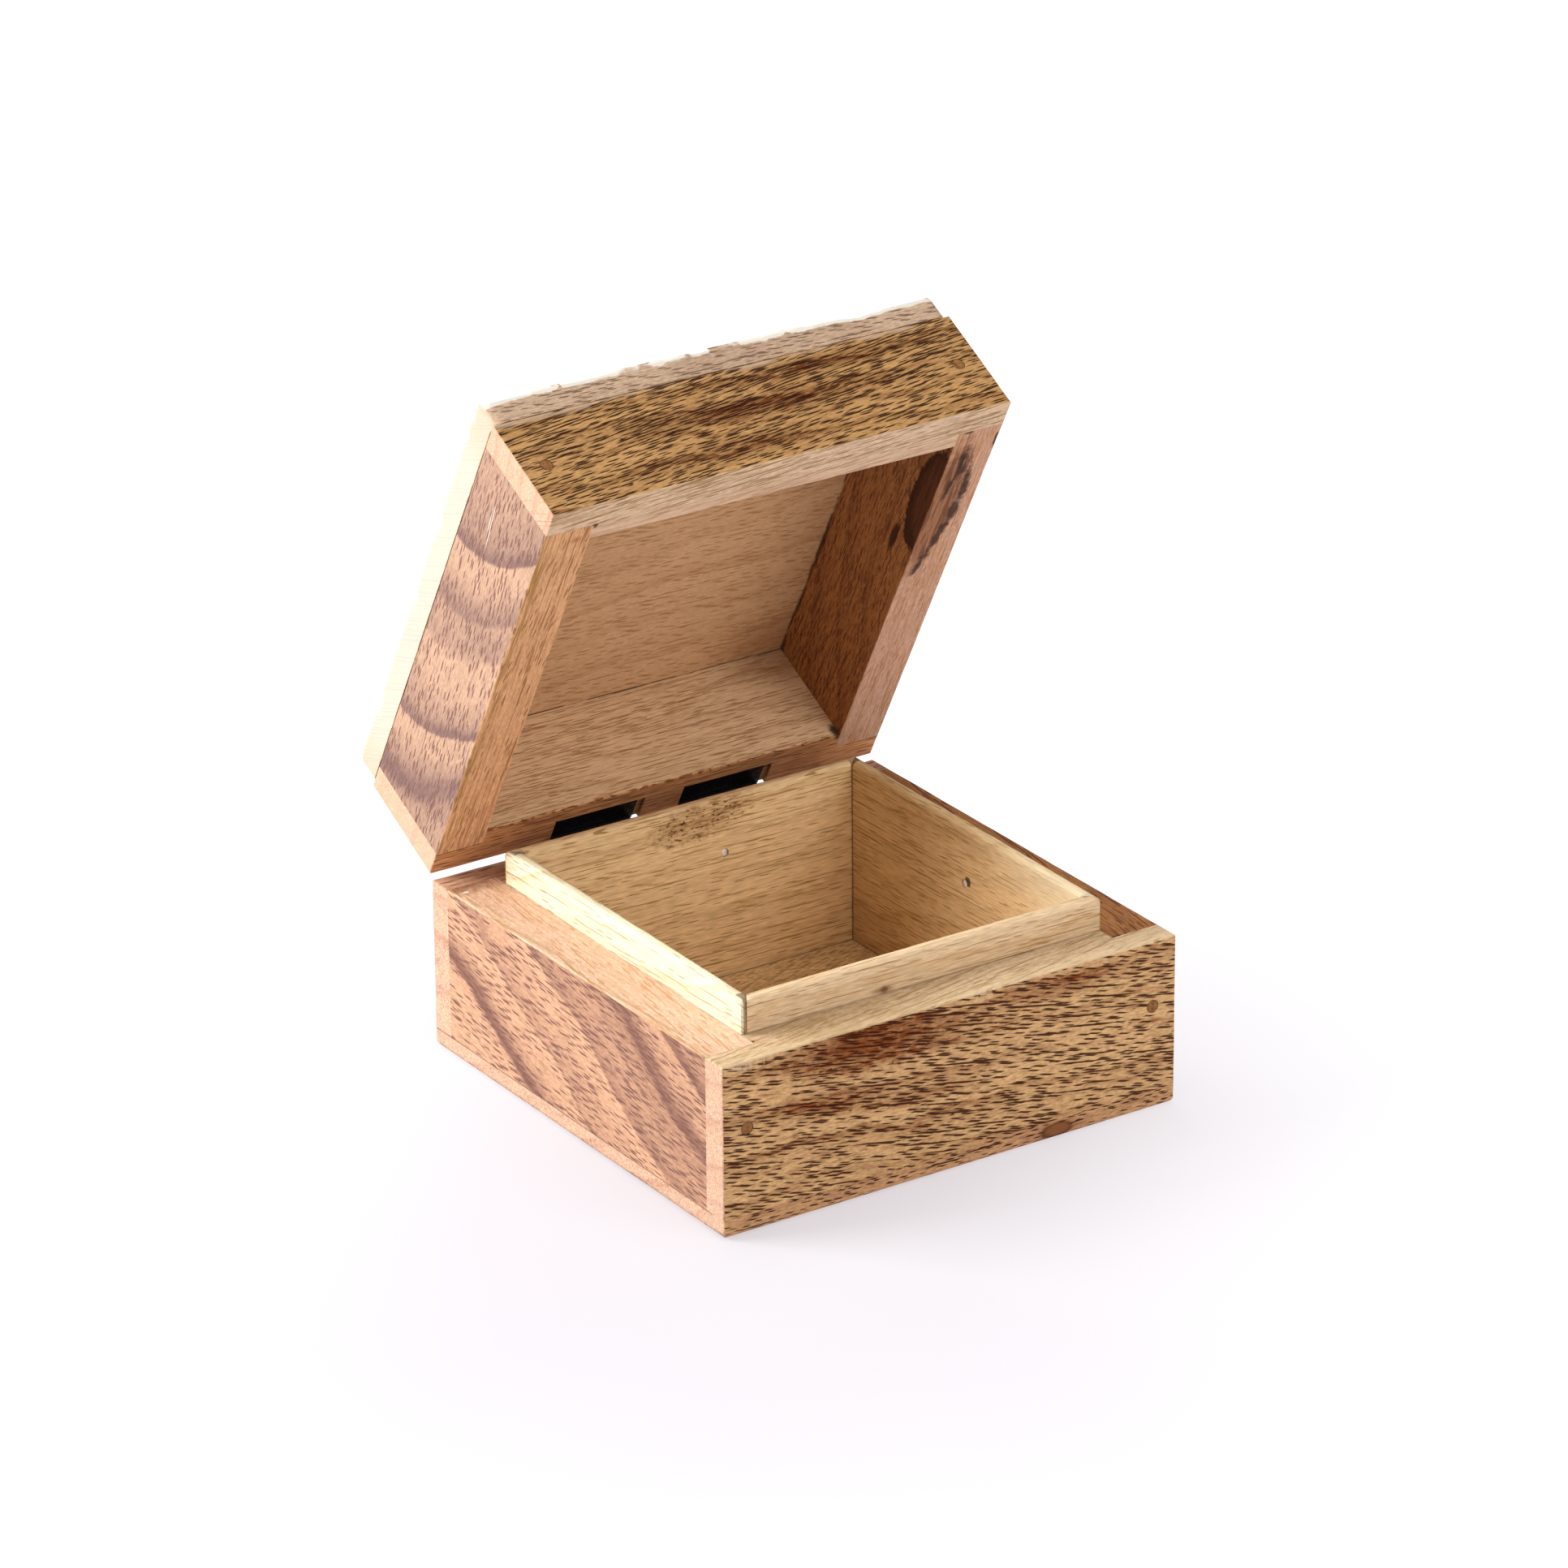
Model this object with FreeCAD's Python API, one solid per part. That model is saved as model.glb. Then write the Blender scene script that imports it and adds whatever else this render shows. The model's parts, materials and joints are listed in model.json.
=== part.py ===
import FreeCAD, Part
import math
import os

# Hinged wooden box with a mitred inner tray and a carved lid, in millimetres.
# The origin is the middle of the underside, +X is the right, +Y the hinge side and +Z up.
# The lid is built shut, straight above the base, and then swung open about the hinge pins.

Vector = FreeCAD.Vector

# Overall box
box_width = 125.0
box_depth = 124.0
base_height = 43.0
lid_wall_height = 29.0
lid_open_angle = 61.8
rim_gap = 0.4

# Boards: end walls run the full width, side walls sit in rabbets behind their tongues
bottom_thickness = 5.0
bottom_edge_radius = 2.0
end_wall_thickness = 12.0
side_wall_thickness = 13.1
tongue_thickness = 7.0
lid_back_edge_radius = 0.4

# Inner tray that stands above the rim as a lip for the lid
liner_thickness = 3.2
lip_height = 8.5
lip_edge_radius = 1.2
lip_clearance = 0.5

# Carved top panel of the lid
top_panel_thickness = 8.0
top_panel_inset = 0.2
top_panel_corner_radius = 3.0
top_panel_edge_radius = 1.4
carving_depth = 1.5
border_width = 11.0
flute_radius = 1.7
flute_pitch = 7.5
flute_margin = 3.0
rosette_radius = 30.0
rosette_petals = 12
petal_width = 7.0
bud_radius = 6.5
ring_groove_width = 2.2
corner_fan_radius = 20.0
corner_fan_petals = 5
fan_petal_width = 4.5

# Butt hinges let into the rims at the back
hinge_length = 22.6
hinge_spacing = 36.0
hinge_setback = 0.8
leaf_depth = 7.0
leaf_thickness = 0.8
leaf_recess = 0.2
barrel_radius = 1.4
pin_radius = 0.7
pin_clearance = 0.05
end_knuckle_length = 5.5
knuckle_gap = 0.25
mortise_clearance = 0.3
mortise_spare_length = 2.2

# Leaf screws
screw_head_radius = 1.5
screw_shank_radius = 0.75
screw_length = 7.0
screw_tip_length = 1.5
screw_slot_width = 0.4
screw_slot_depth = 0.3
screw_spacing = 11.0

# Wooden corner pegs and steel brads
peg_radius = 1.6
peg_length = 22.0
base_peg_drop = 16.5
brad_head_radius = 1.0
brad_head_thickness = 0.5
brad_shank_radius = 0.6
brad_tip_length = 1.2
brad_set_depth = 0.3
liner_brad_length = 9.0
liner_brad_drop = 6.0
back_brad_offset = 9.7
bottom_brad_length = 14.0
bottom_brad_spacing = 60.0
fastener_clearance = 0.05

# Levels and half sizes that follow from the sizes above
half_width = box_width / 2
half_depth = box_depth / 2
liner_half_width = half_width - side_wall_thickness
liner_half_depth = half_depth - end_wall_thickness
lip_top = base_height + lip_height
lid_rim = base_height + rim_gap
lid_wall_top = lid_rim + lid_wall_height
lid_top = lid_wall_top + top_panel_thickness
hinge_axis_y = half_depth + hinge_setback
hinge_axis_z = base_height + rim_gap / 2

# The lid's end walls stop short of the circle that the front lip's corner needs to pass
lip_swing_radius = math.hypot(hinge_axis_y + liner_half_depth, lip_top - hinge_axis_z)
lid_end_wall_thickness = hinge_axis_y + half_depth - lip_swing_radius - lip_clearance
lid_side_wall_thickness = side_wall_thickness - lip_clearance


def block(low, high):
    """A box between two opposite corners."""
    return Part.makeBox(high[0] - low[0], high[1] - low[1], high[2] - low[2], Vector(*low))


def turned(profile, seat, outward):
    """A (radius, height) profile spun about its axis; height zero is the seat, outward is up."""
    points = [Vector(radius, 0, height) for radius, height in profile]
    face = Part.Face(Part.makePolygon(points + points[:1]))
    solid = face.revolve(Vector(0, 0, 0), Vector(0, 0, 1), 360)
    solid.Placement = FreeCAD.Placement(Vector(*seat), FreeCAD.Rotation(Vector(0, 0, 1), Vector(*outward)))
    return solid


def swing_open(shape):
    """A shape of the shut lid, turned up about the hinge axis."""
    opened = shape.copy()
    opened.rotate(Vector(0, hinge_axis_y, hinge_axis_z), Vector(1, 0, 0), -lid_open_angle)
    return opened


def edges_along(shape, test):
    """The edges whose middle point passes the test."""
    return [edge for edge in shape.Edges if test(edge.CenterOfMass)]


def peg_profile(ease):
    """A plain peg, or its hole when given an ease."""
    radius = peg_radius + ease
    return [(0, 0), (radius, 0), (radius, -peg_length - ease), (0, -peg_length - ease)]


def brad_profile(length):
    """A headed brad whose head is set below the surface."""
    neck = -brad_set_depth - brad_head_thickness
    return [(0, -brad_set_depth), (brad_head_radius, -brad_set_depth), (brad_head_radius, neck),
            (brad_shank_radius, neck), (brad_shank_radius, brad_tip_length - length), (0, -length)]


def brad_hole_profile(length):
    """The hole of a brad, open at the surface."""
    head = brad_head_radius + fastener_clearance
    shank = brad_shank_radius + fastener_clearance
    neck = -brad_set_depth - brad_head_thickness - fastener_clearance
    end = -length - fastener_clearance
    return [(0, 0), (head, 0), (head, neck), (shank, neck), (shank, end), (0, end)]


def screw_profile(ease):
    """A countersunk leaf screw, or its hole when given an ease."""
    head = screw_head_radius + ease
    shank = screw_shank_radius + ease
    end = -screw_length - ease
    return [(0, 0), (head, 0), (shank, -leaf_thickness), (shank, end + screw_tip_length), (0, end)]


def wall_frame(rim, top, end_thickness, side_thickness):
    """Four walls between two levels: rabbeted end walls and side walls held in the rabbets."""
    walls = {}
    for name, way in (("front", -1), ("back", 1)):
        outer = way * half_depth
        inner = way * (half_depth - end_thickness)
        shoulder = way * (half_depth - tongue_thickness)
        tongue = block((-half_width, min(outer, shoulder), rim), (half_width, max(outer, shoulder), top))
        inner_half = half_width - side_thickness
        core = block((-inner_half, min(inner, shoulder), rim), (inner_half, max(inner, shoulder), top))
        walls[name] = tongue.fuse(core).removeSplitter()
    side_half = half_depth - tongue_thickness
    for name, way in (("left", -1), ("right", 1)):
        outer = way * half_width
        inner = way * (half_width - side_thickness)
        walls[name] = block((min(outer, inner), -side_half, rim), (max(outer, inner), side_half, top))
    return walls


def corner_pegs(height, side_thickness, ease):
    """One peg at each corner, through an end wall's tongue into the end of a side wall."""
    pegs = {}
    for end, end_way in (("front", -1), ("back", 1)):
        for side, side_way in (("left", -1), ("right", 1)):
            seat = (side_way * (half_width - side_thickness / 2), end_way * half_depth, height)
            pegs[end, side] = turned(peg_profile(ease), seat, (0, end_way, 0))
    return pegs


def bore_for_pegs(walls, height, side_thickness):
    """Peg holes through the four corners of a wall frame."""
    for (end, side), hole in corner_pegs(height, side_thickness, fastener_clearance).items():
        walls[end] = walls[end].cut(hole)
        walls[side] = walls[side].cut(hole)


def leaf_screws(middle, surface, outward, ease):
    """The two screws of a hinge leaf."""
    screws = []
    for way in (-1, 1):
        seat = (middle + way * screw_spacing / 2, half_depth - leaf_depth / 2, surface)
        screws.append(turned(screw_profile(ease), seat, (0, 0, outward)))
    return screws


def slotted(screw, outward):
    """A screw with a driver slot across its head."""
    head = screw.BoundBox
    surface = head.ZMax if outward > 0 else head.ZMin
    low = min(surface, surface - outward * screw_slot_depth)
    slot = block((head.XMin, head.Center.y - screw_slot_width / 2, low),
                 (head.XMax, head.Center.y + screw_slot_width / 2, low + screw_slot_depth))
    return screw.cut(slot)


def round_bar(start, end, radius):
    """A round bar about the hinge axis, between two places along it."""
    return Part.makeCylinder(radius, end - start, Vector(start, hinge_axis_y, hinge_axis_z), Vector(1, 0, 0))


def knuckle(start, end, leaf_low):
    """A length of hinge barrel with the neck that joins it to its leaf."""
    neck = block((start, half_depth, leaf_low), (end, hinge_axis_y, leaf_low + leaf_thickness))
    return round_bar(start, end, barrel_radius).fuse(neck)


def hinge_leaf(middle, leaf_low, knuckle_spans, free_spans):
    """A leaf plate with its knuckles, notched for the other leaf's knuckles and bored for the pin."""
    start = middle - hinge_length / 2
    leaf = block((start, half_depth - leaf_depth, leaf_low),
                 (start + hinge_length, half_depth, leaf_low + leaf_thickness))
    for span_start, span_end in free_spans:
        leaf = leaf.cut(round_bar(start + span_start, start + span_end, barrel_radius + knuckle_gap))
    for span_start, span_end in knuckle_spans:
        leaf = leaf.fuse(knuckle(start + span_start, start + span_end, leaf_low))
    return leaf.cut(round_bar(start, start + hinge_length, pin_radius + pin_clearance)).removeSplitter()


def hinge_mortise(middle, rim, way):
    """The recess for a leaf and for half of its barrel, cut from a rim into the wood on one side of it."""
    depth = leaf_thickness + leaf_recess
    low = min(rim, rim + way * depth)
    start = middle - hinge_length / 2 - mortise_clearance
    end = middle + hinge_length / 2 + mortise_spare_length
    recess = block((start, half_depth - leaf_depth - mortise_clearance, low), (end, half_depth, low + depth))
    return recess.fuse(round_bar(start, end, barrel_radius + mortise_clearance))


def liner_board(outer_start, outer_end, inner_end, inner_start):
    """A mitred tray board with its top edges rounded."""
    corners = [Vector(x, y, bottom_thickness) for x, y in (outer_start, outer_end, inner_end, inner_start)]
    board = Part.Face(Part.makePolygon(corners + corners[:1])).extrude(Vector(0, 0, lip_top - bottom_thickness))
    radius = min(lip_edge_radius, 0.45 * liner_thickness)
    outer_middle = (corners[0] + corners[1]) * 0.5
    inner_middle = (corners[2] + corners[3]) * 0.5
    long_edges = edges_along(board, lambda middle: middle.z > lip_top - radius and (
        math.hypot(middle.x - outer_middle.x, middle.y - outer_middle.y) < radius
        or math.hypot(middle.x - inner_middle.x, middle.y - inner_middle.y) < radius))
    return board.makeFillet(radius, long_edges)


def petal_cut(root, direction, near, far, width):
    """A pointed oval pocket in the lid's top, lying along a direction from its root."""
    along = Vector(math.cos(direction), math.sin(direction), 0)
    across = Vector(-along.y, along.x, 0) * (width / 2)
    tip_near = root + along * near
    tip_far = root + along * far
    middle = (tip_near + tip_far) * 0.5
    sides = [Part.Arc(tip_near, middle + across, tip_far).toShape(),
             Part.Arc(tip_far, middle - across, tip_near).toShape()]
    return Part.Face(Part.Wire(sides)).extrude(Vector(0, 0, -carving_depth))


def border_flutes(panel_half_width, panel_half_depth):
    """Rows of gouge flutes across the panel's border, stopped short of its edges."""
    flutes = []
    flute_run = border_width - flute_margin - 2 * flute_radius
    for run_half, edge_half, along_x in ((panel_half_width, panel_half_depth, True),
                                         (panel_half_depth, panel_half_width, False)):
        count = int((2 * run_half - 2 * border_width) / flute_pitch)
        for index in range(count):
            place = (index - (count - 1) / 2) * flute_pitch
            for way in (-1, 1):
                inner = way * (edge_half - border_width + flute_radius)
                start = Vector(place, inner, lid_top) if along_x else Vector(inner, place, lid_top)
                outward = Vector(0, way, 0) if along_x else Vector(way, 0, 0)
                flutes.append(Part.makeCylinder(flute_radius, flute_run, start, outward))
                flutes.append(Part.makeSphere(flute_radius, start))
                flutes.append(Part.makeSphere(flute_radius, start + outward * flute_run))
    return flutes


def carved_top_panel():
    """The lid's top: a rosette in a ring, a fan in each corner and a fluted border."""
    panel_half_width = half_width - top_panel_inset
    panel_half_depth = half_depth - top_panel_inset
    panel = block((-panel_half_width, -panel_half_depth, lid_wall_top), (panel_half_width, panel_half_depth, lid_top))
    upright = edges_along(panel, lambda middle: lid_wall_top < middle.z < lid_top)
    panel = panel.makeFillet(top_panel_corner_radius, upright)
    panel = panel.makeFillet(top_panel_edge_radius, edges_along(panel, lambda middle: middle.z > lid_top - 1e-6))
    middle = Vector(0, 0, lid_top)
    pockets = border_flutes(panel_half_width, panel_half_depth)
    for index in range(rosette_petals):
        direction = 2 * math.pi * index / rosette_petals
        pockets.append(petal_cut(middle, direction, bud_radius, rosette_radius, petal_width))
    ring_inner = rosette_radius + ring_groove_width
    ring = Part.makeCylinder(ring_inner + ring_groove_width, carving_depth, middle, Vector(0, 0, -1))
    pockets.append(ring.cut(Part.makeCylinder(ring_inner, carving_depth, middle, Vector(0, 0, -1))))
    for x_way in (-1, 1):
        for y_way in (-1, 1):
            corner = Vector(x_way * (panel_half_width - border_width), y_way * (panel_half_depth - border_width), lid_top)
            inward = math.atan2(-y_way, -x_way)
            for index in range(corner_fan_petals):
                turn = (index / (corner_fan_petals - 1) - 0.5) * math.pi / 2
                pockets.append(petal_cut(corner, inward + turn, fan_petal_width, corner_fan_radius, fan_petal_width))
    return panel.cut(pockets)


def make_base(parts):
    """Bottom, walls, pegs and brads of the base, with the recesses for the hinges."""
    bottom = block((-half_width, -half_depth, 0), (half_width, half_depth, bottom_thickness))
    bottom = bottom.makeFillet(bottom_edge_radius, edges_along(bottom, lambda middle: middle.z < 1e-6))
    walls = wall_frame(bottom_thickness, base_height, end_wall_thickness, side_wall_thickness)
    peg_level = base_height - base_peg_drop
    bore_for_pegs(walls, peg_level, side_wall_thickness)

    end_line = half_depth - end_wall_thickness / 2
    side_line = half_width - side_wall_thickness / 2
    brads = []
    for way in (-bottom_brad_spacing / 2, bottom_brad_spacing / 2):
        for name, x, y in (("front", way, -end_line), ("back", way, end_line),
                           ("left", -side_line, way), ("right", side_line, way)):
            hole = turned(brad_hole_profile(bottom_brad_length), (x, y, 0), (0, 0, -1))
            bottom = bottom.cut(hole)
            walls[name] = walls[name].cut(hole)
            brads.append(turned(brad_profile(bottom_brad_length), (x, y, 0), (0, 0, -1)))

    for hinge_middle in (-hinge_spacing / 2, hinge_spacing / 2):
        leaf_surface = base_height - leaf_recess
        cuts = [hinge_mortise(hinge_middle, base_height, -1)]
        cuts += leaf_screws(hinge_middle, leaf_surface, 1, fastener_clearance)
        walls["back"] = walls["back"].cut(cuts)

    make_tray(parts, walls)
    parts["base_bottom_panel"] = bottom
    for name, wall in walls.items():
        parts["base_%s_wall" % name] = wall
    pegs = corner_pegs(peg_level, side_wall_thickness, 0)
    parts["base_corner_pegs"] = Part.makeCompound(list(pegs.values()))
    parts["bottom_brads"] = Part.makeCompound(brads)


def make_tray(parts, walls):
    """Four mitred liner boards, each held to its wall by one brad driven from inside."""
    x = liner_half_width
    y = liner_half_depth
    inner_x = x - liner_thickness
    inner_y = y - liner_thickness
    corners = {"front": ((-x, -y), (x, -y), (inner_x, -inner_y), (-inner_x, -inner_y)),
               "right": ((x, -y), (x, y), (inner_x, inner_y), (inner_x, -inner_y)),
               "back": ((x, y), (-x, y), (-inner_x, inner_y), (inner_x, inner_y)),
               "left": ((-x, y), (-x, -y), (-inner_x, -inner_y), (-inner_x, inner_y))}
    level = base_height - liner_brad_drop
    brad_places = {"front": ((-back_brad_offset, -inner_y, level), (0, 1, 0)),
                   "right": ((inner_x, 0, level), (-1, 0, 0)),
                   "back": ((back_brad_offset, inner_y, level), (0, -1, 0)),
                   "left": ((-inner_x, 0, level), (1, 0, 0))}
    brads = []
    for name, outline in corners.items():
        hole = turned(brad_hole_profile(liner_brad_length), *brad_places[name])
        brads.append(turned(brad_profile(liner_brad_length), *brad_places[name]))
        walls[name] = walls[name].cut(hole)
        parts["liner_%s_board" % name] = liner_board(*outline).cut(hole)
    parts["liner_brads"] = Part.makeCompound(brads)


def make_lid(parts):
    """Walls, pegs and carved top of the lid, swung open."""
    walls = wall_frame(lid_rim, lid_wall_top, lid_end_wall_thickness, lid_side_wall_thickness)
    peg_level = (lid_rim + lid_wall_top) / 2
    bore_for_pegs(walls, peg_level, lid_side_wall_thickness)
    back_edge = edges_along(walls["back"], lambda middle: middle.z < lid_rim + 1e-6 and middle.y > half_depth - 1e-6)
    walls["back"] = walls["back"].makeFillet(lid_back_edge_radius, back_edge)
    for hinge_middle in (-hinge_spacing / 2, hinge_spacing / 2):
        leaf_surface = lid_rim + leaf_recess
        cuts = [hinge_mortise(hinge_middle, lid_rim, 1)]
        cuts += leaf_screws(hinge_middle, leaf_surface, -1, fastener_clearance)
        walls["back"] = walls["back"].cut(cuts)
    for name, wall in walls.items():
        parts["lid_%s_wall" % name] = swing_open(wall)
    pegs = corner_pegs(peg_level, lid_side_wall_thickness, 0)
    parts["lid_corner_pegs"] = swing_open(Part.makeCompound(list(pegs.values())))
    parts["lid_top_panel"] = swing_open(carved_top_panel())


def make_hinges(parts):
    """Two butt hinges: the base leaf has the end knuckles, the lid leaf the middle one."""
    end_spans = [(0, end_knuckle_length), (hinge_length - end_knuckle_length, hinge_length)]
    middle_start = end_knuckle_length + knuckle_gap
    middle_end = hinge_length - middle_start
    base_surface = base_height - leaf_recess
    lid_surface = lid_rim + leaf_recess
    base_screws = []
    lid_screws = []
    for side, middle in (("left", -hinge_spacing / 2), ("right", hinge_spacing / 2)):
        base_leaf = hinge_leaf(middle, base_surface - leaf_thickness, end_spans,
                               [(end_knuckle_length, hinge_length - end_knuckle_length)])
        lid_leaf = hinge_leaf(middle, lid_surface, [(middle_start, middle_end)],
                              [(0, middle_start), (middle_end, hinge_length)])
        base_leaf = base_leaf.cut(leaf_screws(middle, base_surface, 1, fastener_clearance))
        lid_leaf = lid_leaf.cut(leaf_screws(middle, lid_surface, -1, fastener_clearance))
        pin_start = middle - hinge_length / 2
        parts["hinge_%s_base_leaf" % side] = base_leaf
        parts["hinge_%s_lid_leaf" % side] = swing_open(lid_leaf)
        parts["hinge_%s_pin" % side] = round_bar(pin_start, pin_start + hinge_length, pin_radius)
        base_screws += [slotted(screw, 1) for screw in leaf_screws(middle, base_surface, 1, 0)]
        lid_screws += [slotted(screw, -1) for screw in leaf_screws(middle, lid_surface, -1, 0)]
    parts["base_leaf_screws"] = Part.makeCompound(base_screws)
    parts["lid_leaf_screws"] = swing_open(Part.makeCompound(lid_screws))


parts = {}
make_base(parts)
make_lid(parts)
make_hinges(parts)

os.makedirs("parts", exist_ok=True)
for node, shape in parts.items():
    shape.exportStep("parts/%s.step" % node)
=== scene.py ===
import json
import math

import bmesh
import bpy
from bpy.props import FloatProperty, FloatVectorProperty, IntProperty, PointerProperty
from mathutils import Matrix, Quaternion, Vector, noise


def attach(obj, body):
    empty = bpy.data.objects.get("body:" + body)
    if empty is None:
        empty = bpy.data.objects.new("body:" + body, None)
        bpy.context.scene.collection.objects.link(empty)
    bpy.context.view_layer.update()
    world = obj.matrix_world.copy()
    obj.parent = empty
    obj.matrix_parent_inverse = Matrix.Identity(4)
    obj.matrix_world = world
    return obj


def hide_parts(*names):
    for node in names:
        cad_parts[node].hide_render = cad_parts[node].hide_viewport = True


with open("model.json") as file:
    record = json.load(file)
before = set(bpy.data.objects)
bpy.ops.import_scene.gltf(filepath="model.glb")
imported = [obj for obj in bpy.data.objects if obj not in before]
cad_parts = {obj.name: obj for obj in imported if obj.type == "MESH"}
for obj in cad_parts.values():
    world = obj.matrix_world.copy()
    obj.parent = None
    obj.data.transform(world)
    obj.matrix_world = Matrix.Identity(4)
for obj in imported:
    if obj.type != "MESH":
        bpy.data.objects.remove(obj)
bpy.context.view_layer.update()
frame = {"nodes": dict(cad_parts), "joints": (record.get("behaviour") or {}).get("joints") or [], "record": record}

bl_info = {
    "name": "Hinged wooden box",
    "version": (1, 0, 0),
    "blender": (4, 5, 0),
    "location": "3D View > Sidebar > Wooden box",
    "description": "Boards, tray, carved lid, hinges and studio of a hinged wooden box",
    "category": "Object",
}

# Shapes are worked out in millimetres with the lid shut, and turned open at the end
MM = 0.001
HINGE = frame["joints"][0]
PIVOT = Vector(HINGE["pos_m"])
SHUT_TURN = Matrix.Rotation(math.radians(HINGE["range_deg"][0]), 4, Vector(HINGE["axis"]))
LID_SHUT = Matrix.Translation(PIVOT) @ SHUT_TURN @ Matrix.Translation(-PIVOT)
LID_OPEN = LID_SHUT.inverted()
LID_NODES = frame["record"]["behaviour"]["bodies"]["lid"]

# Directions of the boards' grain and faces
RIGHTWARD = (1, 0, 0)
BACKWARD = (0, 1, 0)
UPWARD = (0, 0, 1)

# How saw marks stretch along the rims of the end boards and of the side boards, per millimetre
END_SAW_LINES = (0.05, 2.4, 0.1)
SIDE_SAW_LINES = (2.4, 0.05, 0.1)

# The boards of a frame, and the material slots of the walls
SIDES = ("front", "back", "left", "right")

# How near to a face a point counts as lying on it, in millimetres
TOUCH = 0.05

# Blender's vector noise starts from the clock unless it is given a seed
NOISE_SEED = 7

# Dark bands of the side boards: place along the figure in millimetres, and strength
BASE_SIDE_BANDS = ((-70, 0.35), (-60, 0.5), (-57.5, 0.85), (-56.5, 0.8), (-55.5, 0.15), (-50, 0.3),
                   (-47, 0.75), (-44.5, 0.85), (-42.5, 0.5), (-35, 0.38), (-30, 0.42), (-26.5, 0.6),
                   (-25.5, 0.6), (-24.8, 0.05), (-20, 0.12), (-13, 0.3), (-9, 0.38), (-8.2, 0.6),
                   (-7.6, 0.06), (-1, 0.1), (3, 0.45), (5.5, 0.85), (7.5, 0.9), (9, 0.25), (12, 0.06),
                   (30, 0.1))
LID_LEFT_BANDS = ((-58, 0.25), (-44, 0.3), (-33, 0.5), (-29.5, 0.85), (-28, 0.9), (-27.2, 0.06), (-20, 0.1),
                  (-14, 0.5), (-10.5, 0.68), (-9, 0.3), (-3, 0.42), (0, 0.4), (2.5, 0.08), (12, 0.1),
                  (20, 0.4), (23.5, 0.85), (24.8, 0.85), (25.5, 0.05), (31, 0.12), (37, 0.55), (40.5, 0.85),
                  (43, 0.8), (47, 0.45), (56, 0.36))

# Stains on the lid's right rim: middle and radii in millimetres, and turn in degrees
RIM_STAINS = (((54.6, -43), (2.6, 8), 2), ((57.8, -35), (1.7, 8.5), -3), ((57.3, -27), (1.9, 7), 3),
              ((55.9, -19), (1.8, 6.5), 10), ((53.4, -10), (1.3, 6.5), 12), ((53, -36), (1.2, 7), 4),
              ((61.9, -49.5), (0.9, 3.6), 0))


def screen(red, green, blue):
    """A screen colour, 0 to 255 a channel, as a linear colour."""
    shares = [channel / 255 for channel in (red, green, blue)]
    return tuple(share / 12.92 if share <= 0.04045 else ((share + 0.055) / 1.055) ** 2.4 for share in shares)


def length(name, description, millimetres):
    """A length setting, given in millimetres."""
    return FloatProperty(name=name, description=description, default=millimetres * MM, unit="LENGTH",
                         precision=5)


def number_of(name, description, number):
    """A setting that counts things."""
    return IntProperty(name=name, description=description, default=number)


def colour(name, description, red, green, blue):
    """A colour setting, given as a screen colour."""
    return FloatVectorProperty(name=name, description=description, default=screen(red, green, blue),
                               subtype="COLOR", min=0.0, max=1.0)


def stage_turn(name, description, degrees):
    """An angle setting of the studio, given in degrees."""
    return FloatProperty(name=name, description=description, default=math.radians(degrees), subtype="ANGLE")


def stage_length(name, description, metres):
    """A length setting of the studio, given in metres."""
    return FloatProperty(name=name, description=description, default=metres, unit="LENGTH")


def stage_place(name, description, metres):
    """A place setting of the studio, given in metres."""
    return FloatVectorProperty(name=name, description=description, default=metres, subtype="TRANSLATION",
                               unit="LENGTH")


def lamp_power(name, description, watts):
    """The power setting of a lamp, given in watts."""
    return FloatProperty(name=name, description=description, default=watts, unit="POWER")


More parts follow.
